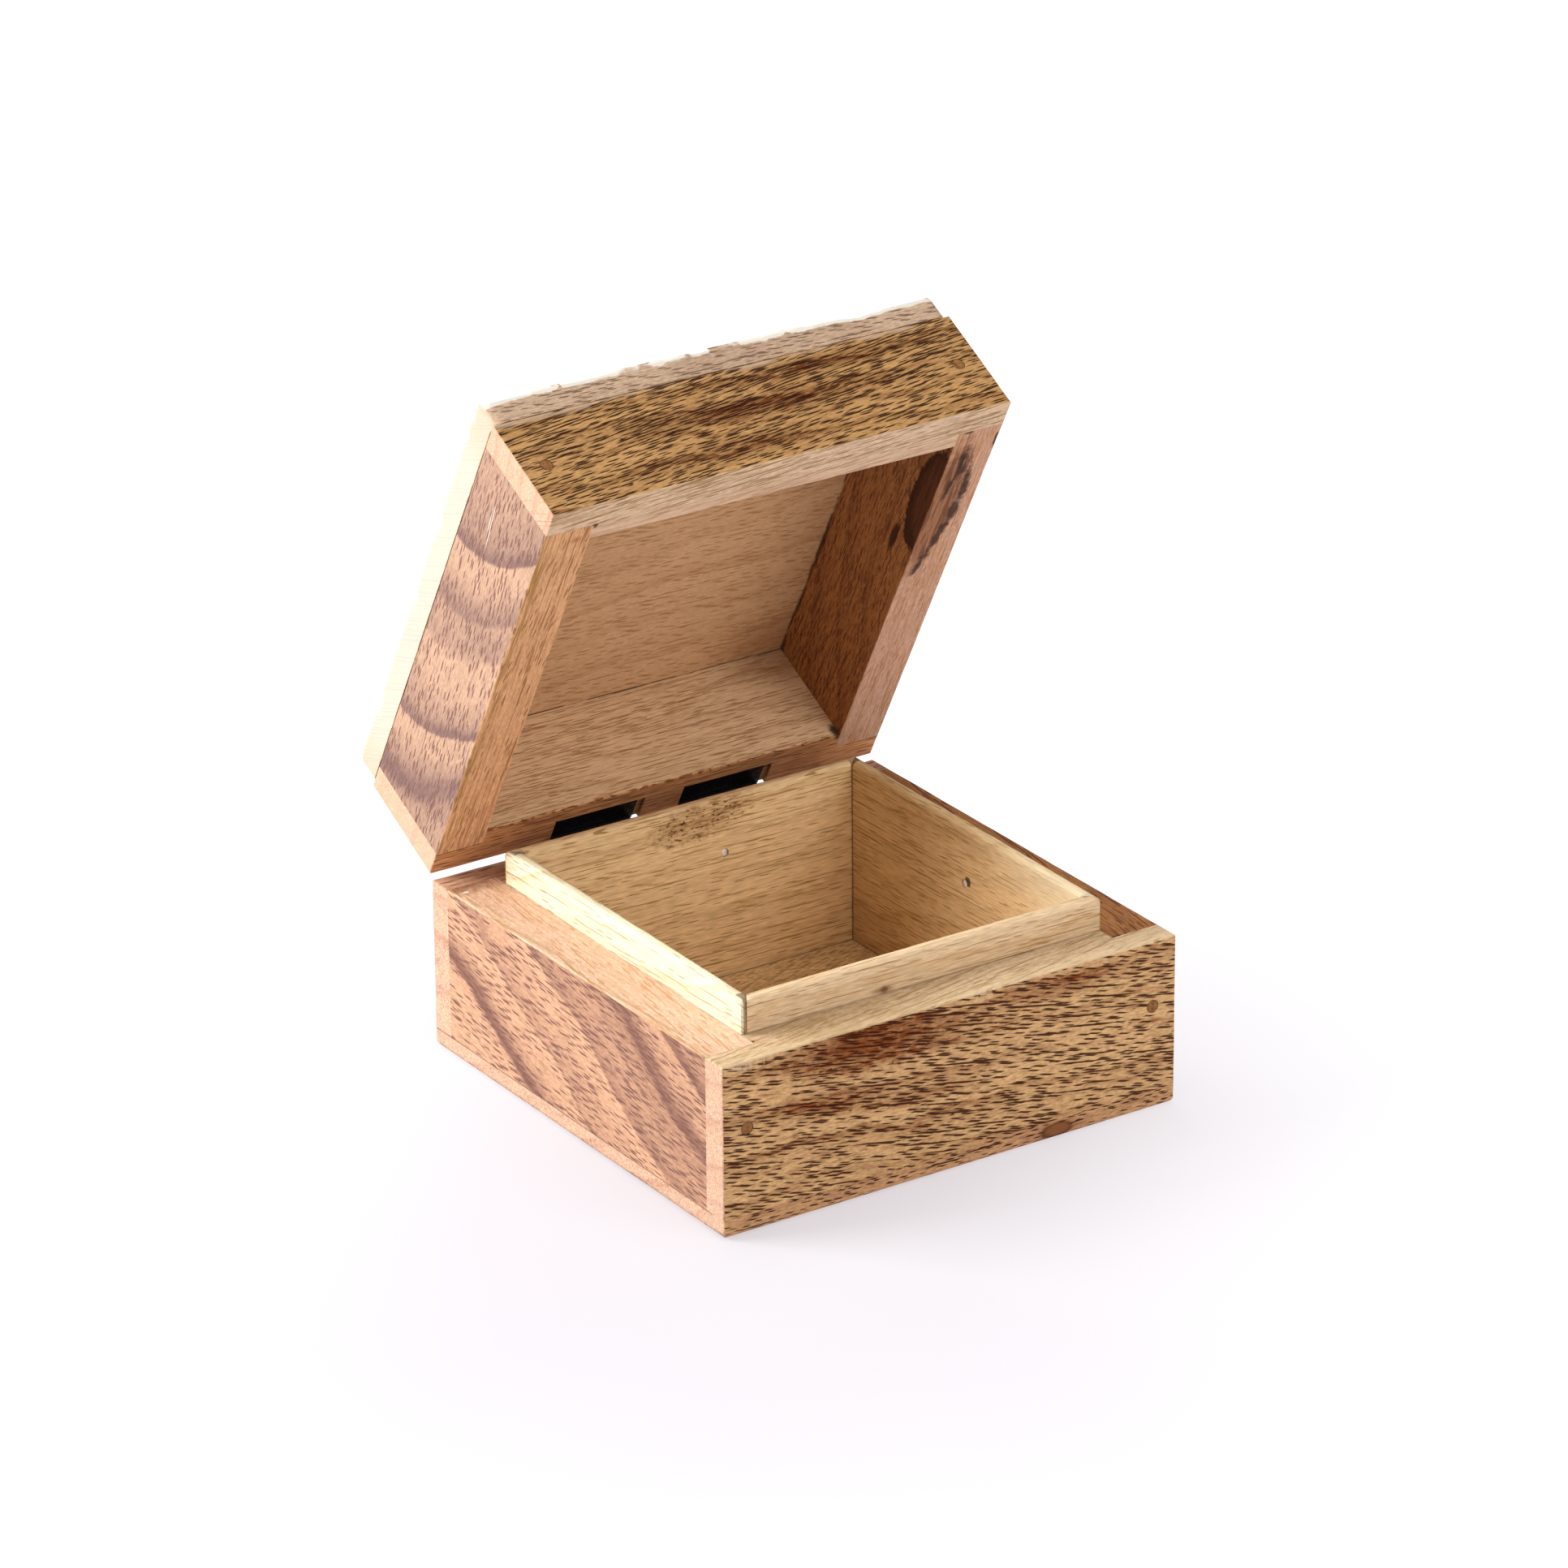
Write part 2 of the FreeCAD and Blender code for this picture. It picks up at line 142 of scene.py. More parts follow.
class BoxSizes(bpy.types.PropertyGroup):
    """Sizes of the details that the boards and fittings carry."""
    arris_round: length("Arris", "Rounding of the outer edges of the boards", 0.4)
    bottom_round: length("Bottom edge", "Rounding of the edges that the box stands on", 2.0)
    lip_round: length("Lip edge", "Rounding of the tray's top edges", 1.2)
    waver: length("Waver", "How far hand planing draws a face in", 0.14)
    waver_span: length("Waver span", "Length of one swell of the planed faces", 24.0)
    chip: length("Chips", "How far small chips draw an arris in", 0.16)
    chip_span: length("Chip span", "Length of one chip along an arris", 2.6)
    slice_step: length("Slice", "Spacing of the cuts that let an edge waver", 4.0)
    mitre_flat: length("Mitre flat", "Blunt end of the left tray board at the open mitre", 1.1)
    mitre_gap: length("Mitre gap", "Opening of the mitre at the tray's front left corner", 0.35)
    peg_radius: length("Peg radius", "Radius of the wooden corner pegs", 1.6)
    peg_gap: length("Peg gap", "Ring of room round a peg", 0.06)
    peg_sink: length("Peg sink", "How far a peg's end lies below the face", 0.12)
    brad_radius: length("Brad head radius", "Radius of a brad's head", 1.0)
    brad_set: length("Brad set", "How far a brad's head is driven below the face", 0.3)
    brad_head: length("Brad head thickness", "Thickness of a brad's head", 0.5)
    leaf_depth: length("Leaf depth", "Depth of a hinge leaf into the rim", 7.0)
    leaf_thickness: length("Leaf thickness", "Thickness of a hinge leaf", 0.8)
    leaf_recess: length("Leaf recess", "How far a leaf lies below its rim", 0.2)
    barrel_radius: length("Barrel radius", "Outer radius of the hinge barrel", 1.4)
    mortise_room: length("Mortise room", "Room round a leaf in its mortise", 0.3)
    mortise_spare: length("Mortise spare", "Over-long end of a mortise", 2.2)
    carving_depth: length("Carving depth", "Depth of the gouged petals", 1.5)
    border_width: length("Border width", "Width of the fluted border", 11.0)
    flute_radius: length("Flute radius", "Radius of a border flute", 1.7)
    flute_pitch: length("Flute pitch", "Spacing of the border flutes", 7.5)
    flute_margin: length("Flute margin", "Plain edge left outside the border flutes", 3.0)
    rosette_radius: length("Rosette radius", "Reach of the rosette's petals", 30.0)
    rosette_petals: number_of("Rosette petals", "Number of petals in the rosette", 12)
    petal_width: length("Petal width", "Width of a rosette petal", 7.0)
    bud_radius: length("Bud radius", "Radius of the rosette's bud", 6.5)
    ring_width: length("Ring width", "Width of the groove round the rosette", 2.2)
    fan_radius: length("Fan radius", "Reach of a corner fan's petals", 20.0)
    fan_petals: number_of("Fan petals", "Number of petals in a corner fan", 5)
    fan_petal_width: length("Fan petal width", "Width of a corner fan's petal", 4.5)
    top_round: length("Top edge", "Rounding of the carved panel's top edges", 1.6)
    top_corner: length("Top corner", "Rounding of the carved panel's corners seen from above", 3.0)
    carving_cells: number_of("Carving cells", "Cells along each side of the carving", 280)

    def mm(self, name):
        """A length setting in millimetres."""
        return getattr(self, name) / MM


class BoxColours(bpy.types.PropertyGroup):
    """Colours of the boards and fittings."""
    front_ground: colour("Front ground", "Light wood of the base's front", 204, 161, 112)
    front_band: colour("Front band", "Dark wood of the base's front", 118, 58, 20)
    front_pore: colour("Front pore", "Open pores of the base's front", 58, 20, 2)
    side_ground: colour("Side ground", "Light wood of the base's sides", 203, 157, 124)
    side_band: colour("Side band", "Mauve-brown bands of the sides", 122, 84, 72)
    side_pore: colour("Side pore", "Open pores of the sides", 114, 78, 70)
    end_grain: colour("End grain", "End grain of the front and back boards", 206, 168, 140)
    end_pore: colour("End grain pore", "Pores of the end grain", 176, 130, 108)
    rim_ground: colour("Rim ground", "Raw sawn rim of the front", 206, 178, 144)
    rim_band: colour("Rim band", "Streaks of the front rim", 160, 126, 84)
    side_rim_ground: colour("Side rim ground", "Raw sawn rim of the sides", 220, 183, 156)
    side_rim_band: colour("Side rim band", "Streaks of the side rims", 196, 146, 106)
    tray_ground: colour("Tray ground", "Raw tray boards", 232, 197, 146)
    tray_band: colour("Tray band", "Streaks of the tray boards", 198, 158, 110)
    tray_pore: colour("Tray pore", "Pores of the tray boards", 172, 132, 82)
    tray_front: colour("Tray front", "Front board of the tray", 224, 195, 158)
    tray_back: colour("Tray back", "Back board of the tray", 240, 206, 156)
    tray_pale: colour("Tray pale", "Palest tray board", 236, 226, 194)
    bottom_ground: colour("Bottom ground", "Wood of the bottom panel", 192, 147, 103)
    bottom_band: colour("Bottom band", "Reddish streaks of the bottom panel", 150, 100, 70)
    lid_ground: colour("Lid front ground", "Light wood of the lid's front", 182, 139, 88)
    lid_band: colour("Lid front band", "Dark wood of the lid's front", 98, 50, 18)
    lid_pore: colour("Lid front pore", "Open pores of the lid's front", 42, 14, 2)
    lid_side_ground: colour("Lid side ground", "Light wood of the lid's sides", 186, 149, 122)
    lid_side_band: colour("Lid side band", "Bands of the lid's sides", 118, 90, 84)
    lid_inner_ground: colour("Lid inside ground", "Wood inside the lid", 207, 165, 124)
    lid_inner_band: colour("Lid inside band", "Streaks inside the lid", 172, 124, 84)
    red_ground: colour("Red board ground", "Reddish right-hand board", 168, 114, 68)
    red_band: colour("Red board band", "Dark wood of the right-hand board", 104, 62, 40)
    stain: colour("Stain", "Dark stain on the lid's right rim", 58, 34, 24)
    panel_ground: colour("Top panel ground", "Washed wood of the carved panel", 186, 158, 132)
    panel_band: colour("Top panel band", "Dark wood of the carved panel", 142, 112, 90)
    wash: colour("Lime wash", "White wash left in the carving", 222, 214, 202)
    peg: colour("Peg", "End grain of the wooden pegs", 138, 98, 60)
    rim_line: colour("Rim line", "Thin lines of the lid's front rim", 146, 108, 68)
    lid_rim_line: colour("Lid side rim line", "Thin lines of the lid's left rim", 150, 104, 66)
    rim_cream: colour("Rim cream", "Cream outer edge of the front rim", 222, 196, 156)
    rim_olive: colour("Rim olive", "Olive streaks of the side rims", 150, 112, 52)
    lid_rim_ground: colour("Lid front rim", "Raw sawn rim of the lid's front", 210, 180, 150)
    lid_side_rim: colour("Lid side rim", "Raw sawn rim of the lid's left side", 212, 161, 119)
    back_rim_ground: colour("Lid back rim", "Raw sawn rim of the lid's back", 204, 144, 94)
    right_rim: colour("Lid right rim", "Raw sawn rim of the lid's right side", 197, 154, 128)
    lid_back_inner: colour("Lid back inside", "Inner face of the lid's back", 226, 187, 146)
    lid_inner_pore: colour("Lid inside pore", "Fine pores inside the lid", 164, 120, 78)
    knot: colour("Knot", "Reddish wood of the knots", 136, 84, 48)
    knot_rim: colour("Knot rim", "Dark rim of the knots", 80, 46, 26)
    panel_pale: colour("Panel pale edge", "Pale left edge of the carved panel", 216, 190, 174)
    panel_pore: colour("Panel pore", "Pores in the edge of the carved panel", 112, 82, 62)
    gap: colour("Gap", "Dark of open joints and chips", 38, 22, 12)
    hinge: colour("Hinge", "Black lacquer of the hinges", 14, 13, 13)
    brad: colour("Brad", "Bright steel of the brads", 244, 240, 234)
    floor: colour("Floor", "Studio floor", 140, 138, 142)
    # Painted light: the floor's glow, dimmer near the box as a painted shadow and brighter far from it
    floor_painted_shadow_glow: colour("Floor glow", "Light let through the studio floor near the box", 194, 189, 193)
    floor_painted_glow_far: colour("Floor glow far", "Light let through the studio floor far from the box", 232, 231, 234)
    floor_pale: colour("Floor patches", "Paler patches of the studio floor", 146, 145, 147)


class StageSettings(bpy.types.PropertyGroup):
    """Camera and studio light."""
    azimuth: stage_turn("Azimuth", "Camera's turn about the box", -33.481)
    elevation: stage_turn("Elevation", "Camera's height above the horizon", 23.598)
    roll: stage_turn("Roll", "Camera's tilt about its own line of sight", 0.509)
    aim: stage_place("Aim", "Point at the middle of the picture", (0.01199, 0.02468, 0.06226))
    distance: stage_length("Distance", "Camera's distance from that point", 1.8275)
    lens: FloatProperty(name="Lens", description="Focal length for a 36 mm wide picture, in millimetres",
                        default=179.184)
    floor_width: stage_length("Floor width", "Side of the studio floor", 9.0)
    ambient: FloatProperty(name="Ambient", description="Strength of the even light from all round",
                           default=0.36)
    key_power: lamp_power("Key power", "Power of the light from the left", 36.0)
    key_width: stage_length("Key width", "Side of the light from the left", 0.9)
    key_place: stage_place("Key place", "Middle of the light from the left", (-1.2, 0.75, 0.65))
    top_power: lamp_power("Top power", "Power of the light from above", 18.0)
    top_width: stage_length("Top width", "Side of the light from above", 1.5)
    top_place: stage_place("Top place", "Middle of the light from above", (-0.1, 0.25, 1.8))
    fill_power: lamp_power("Fill power", "Power of the light from the front", 19.0)
    fill_width: stage_length("Fill width", "Side of the light from the front", 1.6)
    fill_place: stage_place("Fill place", "Middle of the light from the front", (0.5, -1.8, 1.0))


class Block:
    """The box of a CAD node in millimetres, with the lid shut."""

    def __init__(self, node):
        turn = LID_SHUT if node in LID_NODES else Matrix.Identity(4)
        points = [(turn @ vertex.co) / MM for vertex in frame["nodes"][node].data.vertices]
        self.low = Vector([min(point[axis] for point in points) for axis in range(3)])
        self.high = Vector([max(point[axis] for point in points) for axis in range(3)])
        self.middle = (self.low + self.high) / 2


class Surroundings:
    """The middle and half size of the base or of the shut lid, which its boards waver about."""

    def __init__(self, rides_lid):
        front = Block("lid_front_wall" if rides_lid else "base_front_wall")
        back = Block("lid_back_wall" if rides_lid else "base_back_wall")
        self.rim = front.low.z if rides_lid else front.high.z
        self.top = front.high.z
        floor_level = front.low.z if rides_lid else -front.high.z
        self.middle = Vector((0, (front.low.y + back.high.y) / 2, (floor_level + self.top) / 2))
        self.half = Vector((front.high.x, (back.high.y - front.low.y) / 2, (self.top - floor_level) / 2))


# Mesh helpers, all in millimetres


def prism(bm, outline, low, high):
    """Adds a closed prism of a plan outline between two heights."""
    corners = [bm.verts.new((x, y, low)) for x, y in outline]
    plan = bm.faces.new(corners)
    made = bmesh.ops.extrude_face_region(bm, geom=[plan])["geom"]
    raised = [part for part in made if isinstance(part, bmesh.types.BMVert)]
    bmesh.ops.translate(bm, verts=raised, vec=(0, 0, high - low))
    bmesh.ops.recalc_face_normals(bm, faces=bm.faces[:])


def oblong(low, high):
    """The plan outline of a box between two corners."""
    return [(low[0], low[1]), (high[0], low[1]), (high[0], high[1]), (low[0], high[1])]


def cylinder(bm, start, end, radius, segments=32):
    """Adds a closed cylinder between two points."""
    line = Vector(end) - Vector(start)
    turn = line.to_track_quat("Z", "Y").to_matrix().to_4x4()
    place = Matrix.Translation((Vector(start) + Vector(end)) / 2) @ turn
    bmesh.ops.create_cone(bm, cap_ends=True, segments=segments, radius1=radius, radius2=radius,
                          depth=line.length, matrix=place)


def turned(bm, profile, seat, outward, segments=32):
    """Adds a (radius, height) profile spun about its axis; height zero is the seat."""
    place = Matrix.Translation(Vector(seat)) @ Vector(outward).to_track_quat("Z", "Y").to_matrix().to_4x4()
    points = [bm.verts.new((radius, 0, height)) for radius, height in profile]
    edges = [bm.edges.new(pair) for pair in zip(points, points[1:])]
    bmesh.ops.spin(bm, geom=points + edges, cent=(0, 0, 0), axis=(0, 0, 1), dvec=(0, 0, 0),
                   angle=math.tau, steps=segments, use_merge=True)
    fresh = [vert for vert in bm.verts if not vert.tag]
    bmesh.ops.remove_doubles(bm, verts=fresh, dist=1e-4)
    fresh = [vert for vert in bm.verts if not vert.tag]
    bmesh.ops.transform(bm, matrix=place, verts=fresh)
    for vert in fresh:
        vert.tag = True
    bmesh.ops.recalc_face_normals(bm, faces=bm.faces[:])
    for face in bm.faces:
        face.smooth = True


def carve(board, tools):
    """The shape of one bmesh with another one taken away from it."""
    objects = []
    for shape in (board, tools):
        mesh = bpy.data.meshes.new("carve")
        shape.to_mesh(mesh)
        shape.free()
        made = bpy.data.objects.new("carve", mesh)
        bpy.context.scene.collection.objects.link(made)
        objects.append(made)
    modifier = objects[0].modifiers.new("carve", "BOOLEAN")
    modifier.object = objects[1]
    modifier.operation = "DIFFERENCE"
    modifier.solver = "EXACT"
    modifier.use_self = True
    depsgraph = bpy.context.evaluated_depsgraph_get()
    result = bpy.data.meshes.new_from_object(objects[0].evaluated_get(depsgraph))
    shape = bmesh.new()
    shape.from_mesh(result)
    for made in objects:
        mesh = made.data
        bpy.data.objects.remove(made)
        bpy.data.meshes.remove(mesh)
    bpy.data.meshes.remove(result)
    if not shape.faces:
        raise RuntimeError("a cut left nothing of a board")
    return shape


def soften(bm, width, test, segments=2):
    """Rounds the sharp edges whose middle passes a test."""
    sharp = []
    for edge in bm.edges:
        if len(edge.link_faces) == 2 and edge.calc_face_angle() > math.radians(30):
            if test((edge.verts[0].co + edge.verts[1].co) / 2):
                sharp.append(edge)
    made = bmesh.ops.bevel(bm, geom=sharp, offset=width, offset_type="OFFSET", affect="EDGES",
                           segments=segments, profile=0.5, material=-1, clamp_overlap=True)
    for face in made["faces"]:
        face.smooth = True


def slice_up(bm, step):
    """Cuts a board across at even steps, so that its faces and edges can waver."""
    for axis in range(3):
        places = [vert.co[axis] for vert in bm.verts]
        low = min(places)
        span = max(places) - low
        count = int(span / step)
        for index in range(1, count):
            point = Vector((0, 0, 0))
            point[axis] = low + span * index / count
            normal = Vector((0, 0, 0))
            normal[axis] = 1
            bmesh.ops.bisect_plane(bm, geom=bm.verts[:] + bm.edges[:] + bm.faces[:], dist=1e-4,
                                   plane_co=point, plane_no=normal)


def waver(bm, sizes, around, seed):
    """Draws faces in by a slow swell and arrises by small chips, as on boards planed by hand."""
    swell = sizes.mm("waver")
    swell_span = sizes.mm("waver_span")
    chip = sizes.mm("chip")
    chip_span = sizes.mm("chip_span")
    reach = 1.0
    for vert in bm.verts:
        offset = vert.co - around.middle
        shares = [max(-1.0, min(1.0, offset[axis] / around.half[axis])) for axis in range(3)]
        near = [max(0.0, 1 - (1 - abs(shares[axis])) * around.half[axis] / reach) for axis in range(3)]
        arris = max(near[0] * near[1], near[1] * near[2], near[0] * near[2])
        move = Vector((0, 0, 0))
        for axis in range(3):
            place = vert.co + Vector((seed, 37.0 * axis, seed * 3))
            slow = 0.5 + 0.5 * noise.noise(place / swell_span)
            quick = max(0.0, noise.noise(place / chip_span))
            move[axis] = -shares[axis] * (swell * slow + chip * arris * quick)
        vert.co += move


def finished_piece(name, bm, material, body, nodes):
    """Makes a piece of a shape in millimetres, turned open if it is the lid's, in place of CAD nodes."""
    bmesh.ops.scale(bm, vec=(MM, MM, MM), verts=bm.verts[:])
    if body == "lid":
        bmesh.ops.transform(bm, matrix=LID_OPEN, verts=bm.verts[:])
    mesh = bpy.data.meshes.new(name)
    bm.to_mesh(mesh)
    bm.free()
    mesh.materials.append(material)
    piece = bpy.data.objects.new(name, mesh)
    bpy.context.scene.collection.objects.link(piece)
    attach(piece, body)
    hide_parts(*nodes)


# Shader helpers


def opaque(tone):
    """A colour setting as the four numbers of a colour socket; sockets pass unchanged."""
    return tone if isinstance(tone, bpy.types.NodeSocket) else (tone[0], tone[1], tone[2], 1.0)


class Graph:
    """Adds shader nodes to one tree and joins them."""

    def __init__(self, tree):
        self.tree = tree

    def feed(self, socket, value):
        """Joins a socket to another one, or sets its value."""
        if isinstance(value, bpy.types.NodeSocket):
            self.tree.links.new(value, socket)
        else:
            socket.default_value = value

    def node(self, kind, inputs, **settings):
        """A new node with its settings and inputs."""
        made = self.tree.nodes.new("ShaderNode" + kind)
        for name, value in settings.items():
            setattr(made, name, value)
        for key, value in inputs.items():
            self.feed(made.inputs[key], value)
        return made

    def math(self, operation, first, second=0.0, third=0.0):
        """One calculation with up to three numbers."""
        return self.node("Math", {0: first, 1: second, 2: third}, operation=operation).outputs[0]

    def vector(self, operation, first, second):
        """One calculation with two vectors."""
        return self.node("VectorMath", {0: first, 1: second}, operation=operation).outputs[0]

    def mix(self, share, first, second):
        """Two colours mixed."""
        inputs = {0: share, 6: opaque(first), 7: opaque(second)}
        return self.node("Mix", inputs, data_type="RGBA").outputs[2]

    def step(self, value, start, end, low=0.0, high=1.0):
        """A value eased from low to high between two marks."""
        inputs = {"Value": value, "From Min": start, "From Max": end, "To Min": low, "To Max": high}
        return self.node("MapRange", inputs, interpolation_type="SMOOTHSTEP").outputs[0]

    def noise(self, place, scale, detail=2.0, roughness=0.5):
        """A noise texture's value and colour."""
        inputs = {"Vector": place, "Scale": scale, "Detail": detail, "Roughness": roughness}
        return self.node("TexNoise", inputs).outputs

    def mapping(self, place, location=(0, 0, 0), rotation=(0, 0, 0), scale=(1, 1, 1), kind="POINT"):
        """A place moved, turned and scaled."""
        inputs = {"Vector": place, "Location": location, "Rotation": rotation, "Scale": scale}
        return self.node("Mapping", inputs, vector_type=kind).outputs[0]

    def millimetres(self, rides_lid):
        """Object coordinates in millimetres, turned to the shut lid's place for its own pieces."""
        place = self.node("TexCoord", {}).outputs["Object"]
        turn = LID_SHUT if rides_lid else Matrix.Identity(4)
        return self.mapping(place, turn.to_translation() / MM, turn.to_euler(), (1 / MM, 1 / MM, 1 / MM))

    def group(self, tree, inputs):
        """A shader node group placed with its inputs."""
        return self.node("Group", inputs, node_tree=tree).outputs

    def surface(self, inputs):
        """A surface shader with its inputs, joined to the material's output."""
        shader = self.node("BsdfPrincipled", inputs)
        output = self.node("OutputMaterial", {})
        self.feed(output.inputs["Surface"], shader.outputs[0])


def new_material(name):
    """An empty material and its graph."""
    material = bpy.data.materials.new(name)
    material.use_nodes = True
    material.node_tree.nodes.clear()
    return material, Graph(material.node_tree)


def new_group(name, inputs, outputs):
    """An empty shader node group with its sockets, its graph, and its inner ends."""
    tree = bpy.data.node_groups.new(name, "ShaderNodeTree")
    for socket, kind in inputs:
        tree.interface.new_socket(name=socket, in_out="INPUT", socket_type="NodeSocket" + kind)
    for socket, kind in outputs:
        tree.interface.new_socket(name=socket, in_out="OUTPUT", socket_type="NodeSocket" + kind)
    given = tree.nodes.new("NodeGroupInput").outputs
    result = tree.nodes.new("NodeGroupOutput").inputs
    return tree, Graph(tree), given, result


def pore_set(graph, sides, length_socket, width_socket, share, crowd, small, large):
    """Thin pointed pores in slanting ranks, each present by chance."""
    cross = graph.math("DIVIDE", graph.math("ADD", sides[1], sides[2]), width_socket)
    along = graph.math("MULTIPLY_ADD", cross, 0.37, graph.math("DIVIDE", sides[0], length_socket))
    cell = graph.node("CombineXYZ", {0: along, 1: cross}).outputs[0]
    inputs = {"Vector": cell, "Scale": 1.0, "Randomness": 0.8}
    pits = graph.node("TexVoronoi", inputs, voronoi_dimensions="2D", distance="MANHATTAN").outputs
    chance = graph.node("SeparateColor", {0: pits["Color"]}).outputs
    limit = graph.math("MULTIPLY", share, crowd)
    present = graph.step(chance[0], graph.math("ADD", limit, 0.06), graph.math("SUBTRACT", limit, 0.06))
    size = graph.math("MULTIPLY_ADD", chance[1], large - small, small)
    mask = graph.step(pits["Distance"], size, graph.math("MULTIPLY", size, 0.66))
    return graph.math("MULTIPLY", mask, present)


def wood_group():
    """Wood with colour bands, open pores and fine fibres; X of Grain runs along the fibres."""
    if "open_pore_wood" in bpy.data.node_groups:
        return bpy.data.node_groups["open_pore_wood"]
    tree, graph, given, result = new_group(
        "open_pore_wood",
        (("Grain", "Vector"), ("Figure", "Vector"), ("Ground", "Color"), ("Band", "Color"), ("Pore", "Color"),
         ("Band Width", "Float"), ("Band Share", "Float"), ("Shade", "Float"), ("Pore Length", "Float"),
         ("Pore Width", "Float"), ("Pore Share", "Float"), ("Line Share", "Float"), ("Fibre", "Float")),
        (("Color", "Color"), ("Pores", "Float"), ("Height", "Float")))

    # Bands that darken slowly and end sharply, feathered along the grain, each as strong as chance makes it
    figure = graph.vector("DIVIDE", given["Figure"], given["Band Width"])
    bent = graph.noise(figure, 0.28, 1.0)[0]
    feather = graph.noise(graph.vector("MULTIPLY", given["Grain"], (0.3, 1.6, 1.6)), 1.0, 2.0)[0]
    across = graph.node("SeparateXYZ", {0: figure}).outputs[0]
    place = graph.math("MULTIPLY_ADD", bent, 1.8, across)
    place = graph.math("MULTIPLY_ADD", feather, 0.3, place)
    ring = graph.math("FRACT", place)
    number = graph.math("FLOOR", place)
    luck = graph.node("TexWhiteNoise", {"W": number}, noise_dimensions="1D").outputs["Color"]
    luck = graph.node("SeparateColor", {0: luck}).outputs
    fall = graph.step(ring, 1.0, 0.93)
    broad_share = graph.math("MULTIPLY_ADD", luck[0], 0.5, 0.15)
    broad = graph.math("MULTIPLY", graph.math("POWER", ring, 1.6), broad_share)
    core_share = graph.math("MULTIPLY_ADD", luck[1], 0.6, 0.1)
    core = graph.math("MULTIPLY", graph.step(ring, 0.7, 0.93), core_share)
    band = graph.math("MULTIPLY", graph.math("ADD", broad, core), fall)
    hair = graph.math("PINGPONG", graph.math("MULTIPLY_ADD", place, 2.3, 0.4), 0.5)
    hair = graph.math("MULTIPLY", graph.step(hair, 0.09, 0.02), graph.step(luck[2], 0.4, 0.6))
    streak_place = graph.vector("MULTIPLY", figure, (6.0, 0.45, 0.45))
    streak = graph.step(graph.noise(streak_place, 1.0, 3.0, 0.6)[0], 0.45, 0.75)
    figured = graph.math("MULTIPLY_ADD", streak, 0.25, band)
    figured = graph.math("MULTIPLY_ADD", hair, 0.3, figured)
    dark = graph.math("MULTIPLY_ADD", figured, given["Band Share"], given["Shade"])

    # The grain sways a little, and smudges of darker wood lie along it
    sway = graph.vector("SUBTRACT", graph.noise(given["Grain"], 0.035, 1.0)[1], (0.5, 0.5, 0.5))
    swayed = graph.vector("MULTIPLY_ADD", sway, (0.0, 1.4, 0.0))
    graph.feed(swayed.node.inputs[2], given["Grain"])
    smudge = graph.noise(graph.vector("MULTIPLY", swayed, (0.14, 0.8, 0.8)), 1.0, 3.0, 0.6)[0]
    smudge = graph.math("MULTIPLY", graph.step(smudge, 0.48, 0.72), given["Fibre"])
    dark = graph.math("ADD", dark, smudge)
    dark = graph.node("Clamp", {0: dark}).outputs[0]

    # Short pores and long pore lines, closer together in the darker wood
    sides = graph.node("SeparateXYZ", {0: swayed}).outputs
    crowd = graph.step(graph.noise(given["Grain"], 0.09, 2.0)[0], 0.3, 0.7, 0.7, 1.2)
    crowd = graph.math("MULTIPLY_ADD", dark, 0.4, crowd)
    dashes = pore_set(graph, sides, given["Pore Length"], given["Pore Width"], given["Pore Share"], crowd,
                      small=0.34, large=0.6)
    line_length = graph.math("MULTIPLY", given["Pore Length"], 4.5)
    line_width = graph.math("MULTIPLY", given["Pore Width"], 1.15)
    lines = pore_set(graph, sides, line_length, line_width, given["Line Share"], crowd,
                     small=0.28, large=0.46)
    pores = graph.math("MAXIMUM", dashes, lines)

    # Fibres: thin streaks of lighter and darker wood, and a fine glint
    fibre = graph.noise(graph.vector("MULTIPLY", swayed, (0.06, 2.2, 2.2)), 1.0, 3.0, 0.65)[0]
    fibre = graph.step(fibre, 0.3, 0.7, -0.5, 0.5)
    glint = graph.noise(graph.vector("MULTIPLY", swayed, (0.7, 2.4, 2.4)), 1.0, 1.0)[0]
    glint = graph.step(glint, 0.3, 0.7, -0.5, 0.5)
    light = graph.math("MULTIPLY_ADD", glint, 1.4, fibre)
    value = graph.math("MULTIPLY_ADD", graph.math("MULTIPLY", light, 0.6), given["Fibre"], 1.0)

    tone = graph.mix(dark, given["Ground"], given["Band"])
    tone = graph.node("HueSaturation", {"Value": value, "Color": tone}).outputs[0]
    graph.feed(result["Color"], graph.mix(graph.math("MULTIPLY", pores, 0.95), tone, given["Pore"]))
    graph.feed(result["Pores"], pores)
    graph.feed(result["Height"], graph.math("SUBTRACT", graph.math("MULTIPLY", light, 0.25), pores))
    return tree


def spot_group():
    """An oval mask with a ragged outline; Place is measured from its middle in its own radii."""
    if "ragged_spot" in bpy.data.node_groups:
        return bpy.data.node_groups["ragged_spot"]
    tree, graph, given, result = new_group(
        "ragged_spot",
        (("Place", "Vector"), ("Millimetres", "Vector"), ("Ragged", "Float"), ("Soft", "Float")),
        (("Mask", "Float"),))
    distance = graph.node("VectorMath", {0: given["Place"]}, operation="LENGTH").outputs["Value"]
    rough = graph.math("SUBTRACT", graph.noise(given["Millimetres"], 0.45, 3.0, 0.6)[0], 0.5)
    edge = graph.math("MULTIPLY_ADD", rough, given["Ragged"], distance)
    inner = graph.math("SUBTRACT", 1.0, given["Soft"])
    graph.feed(result["Mask"], graph.step(edge, 1.0, inner))
    return tree


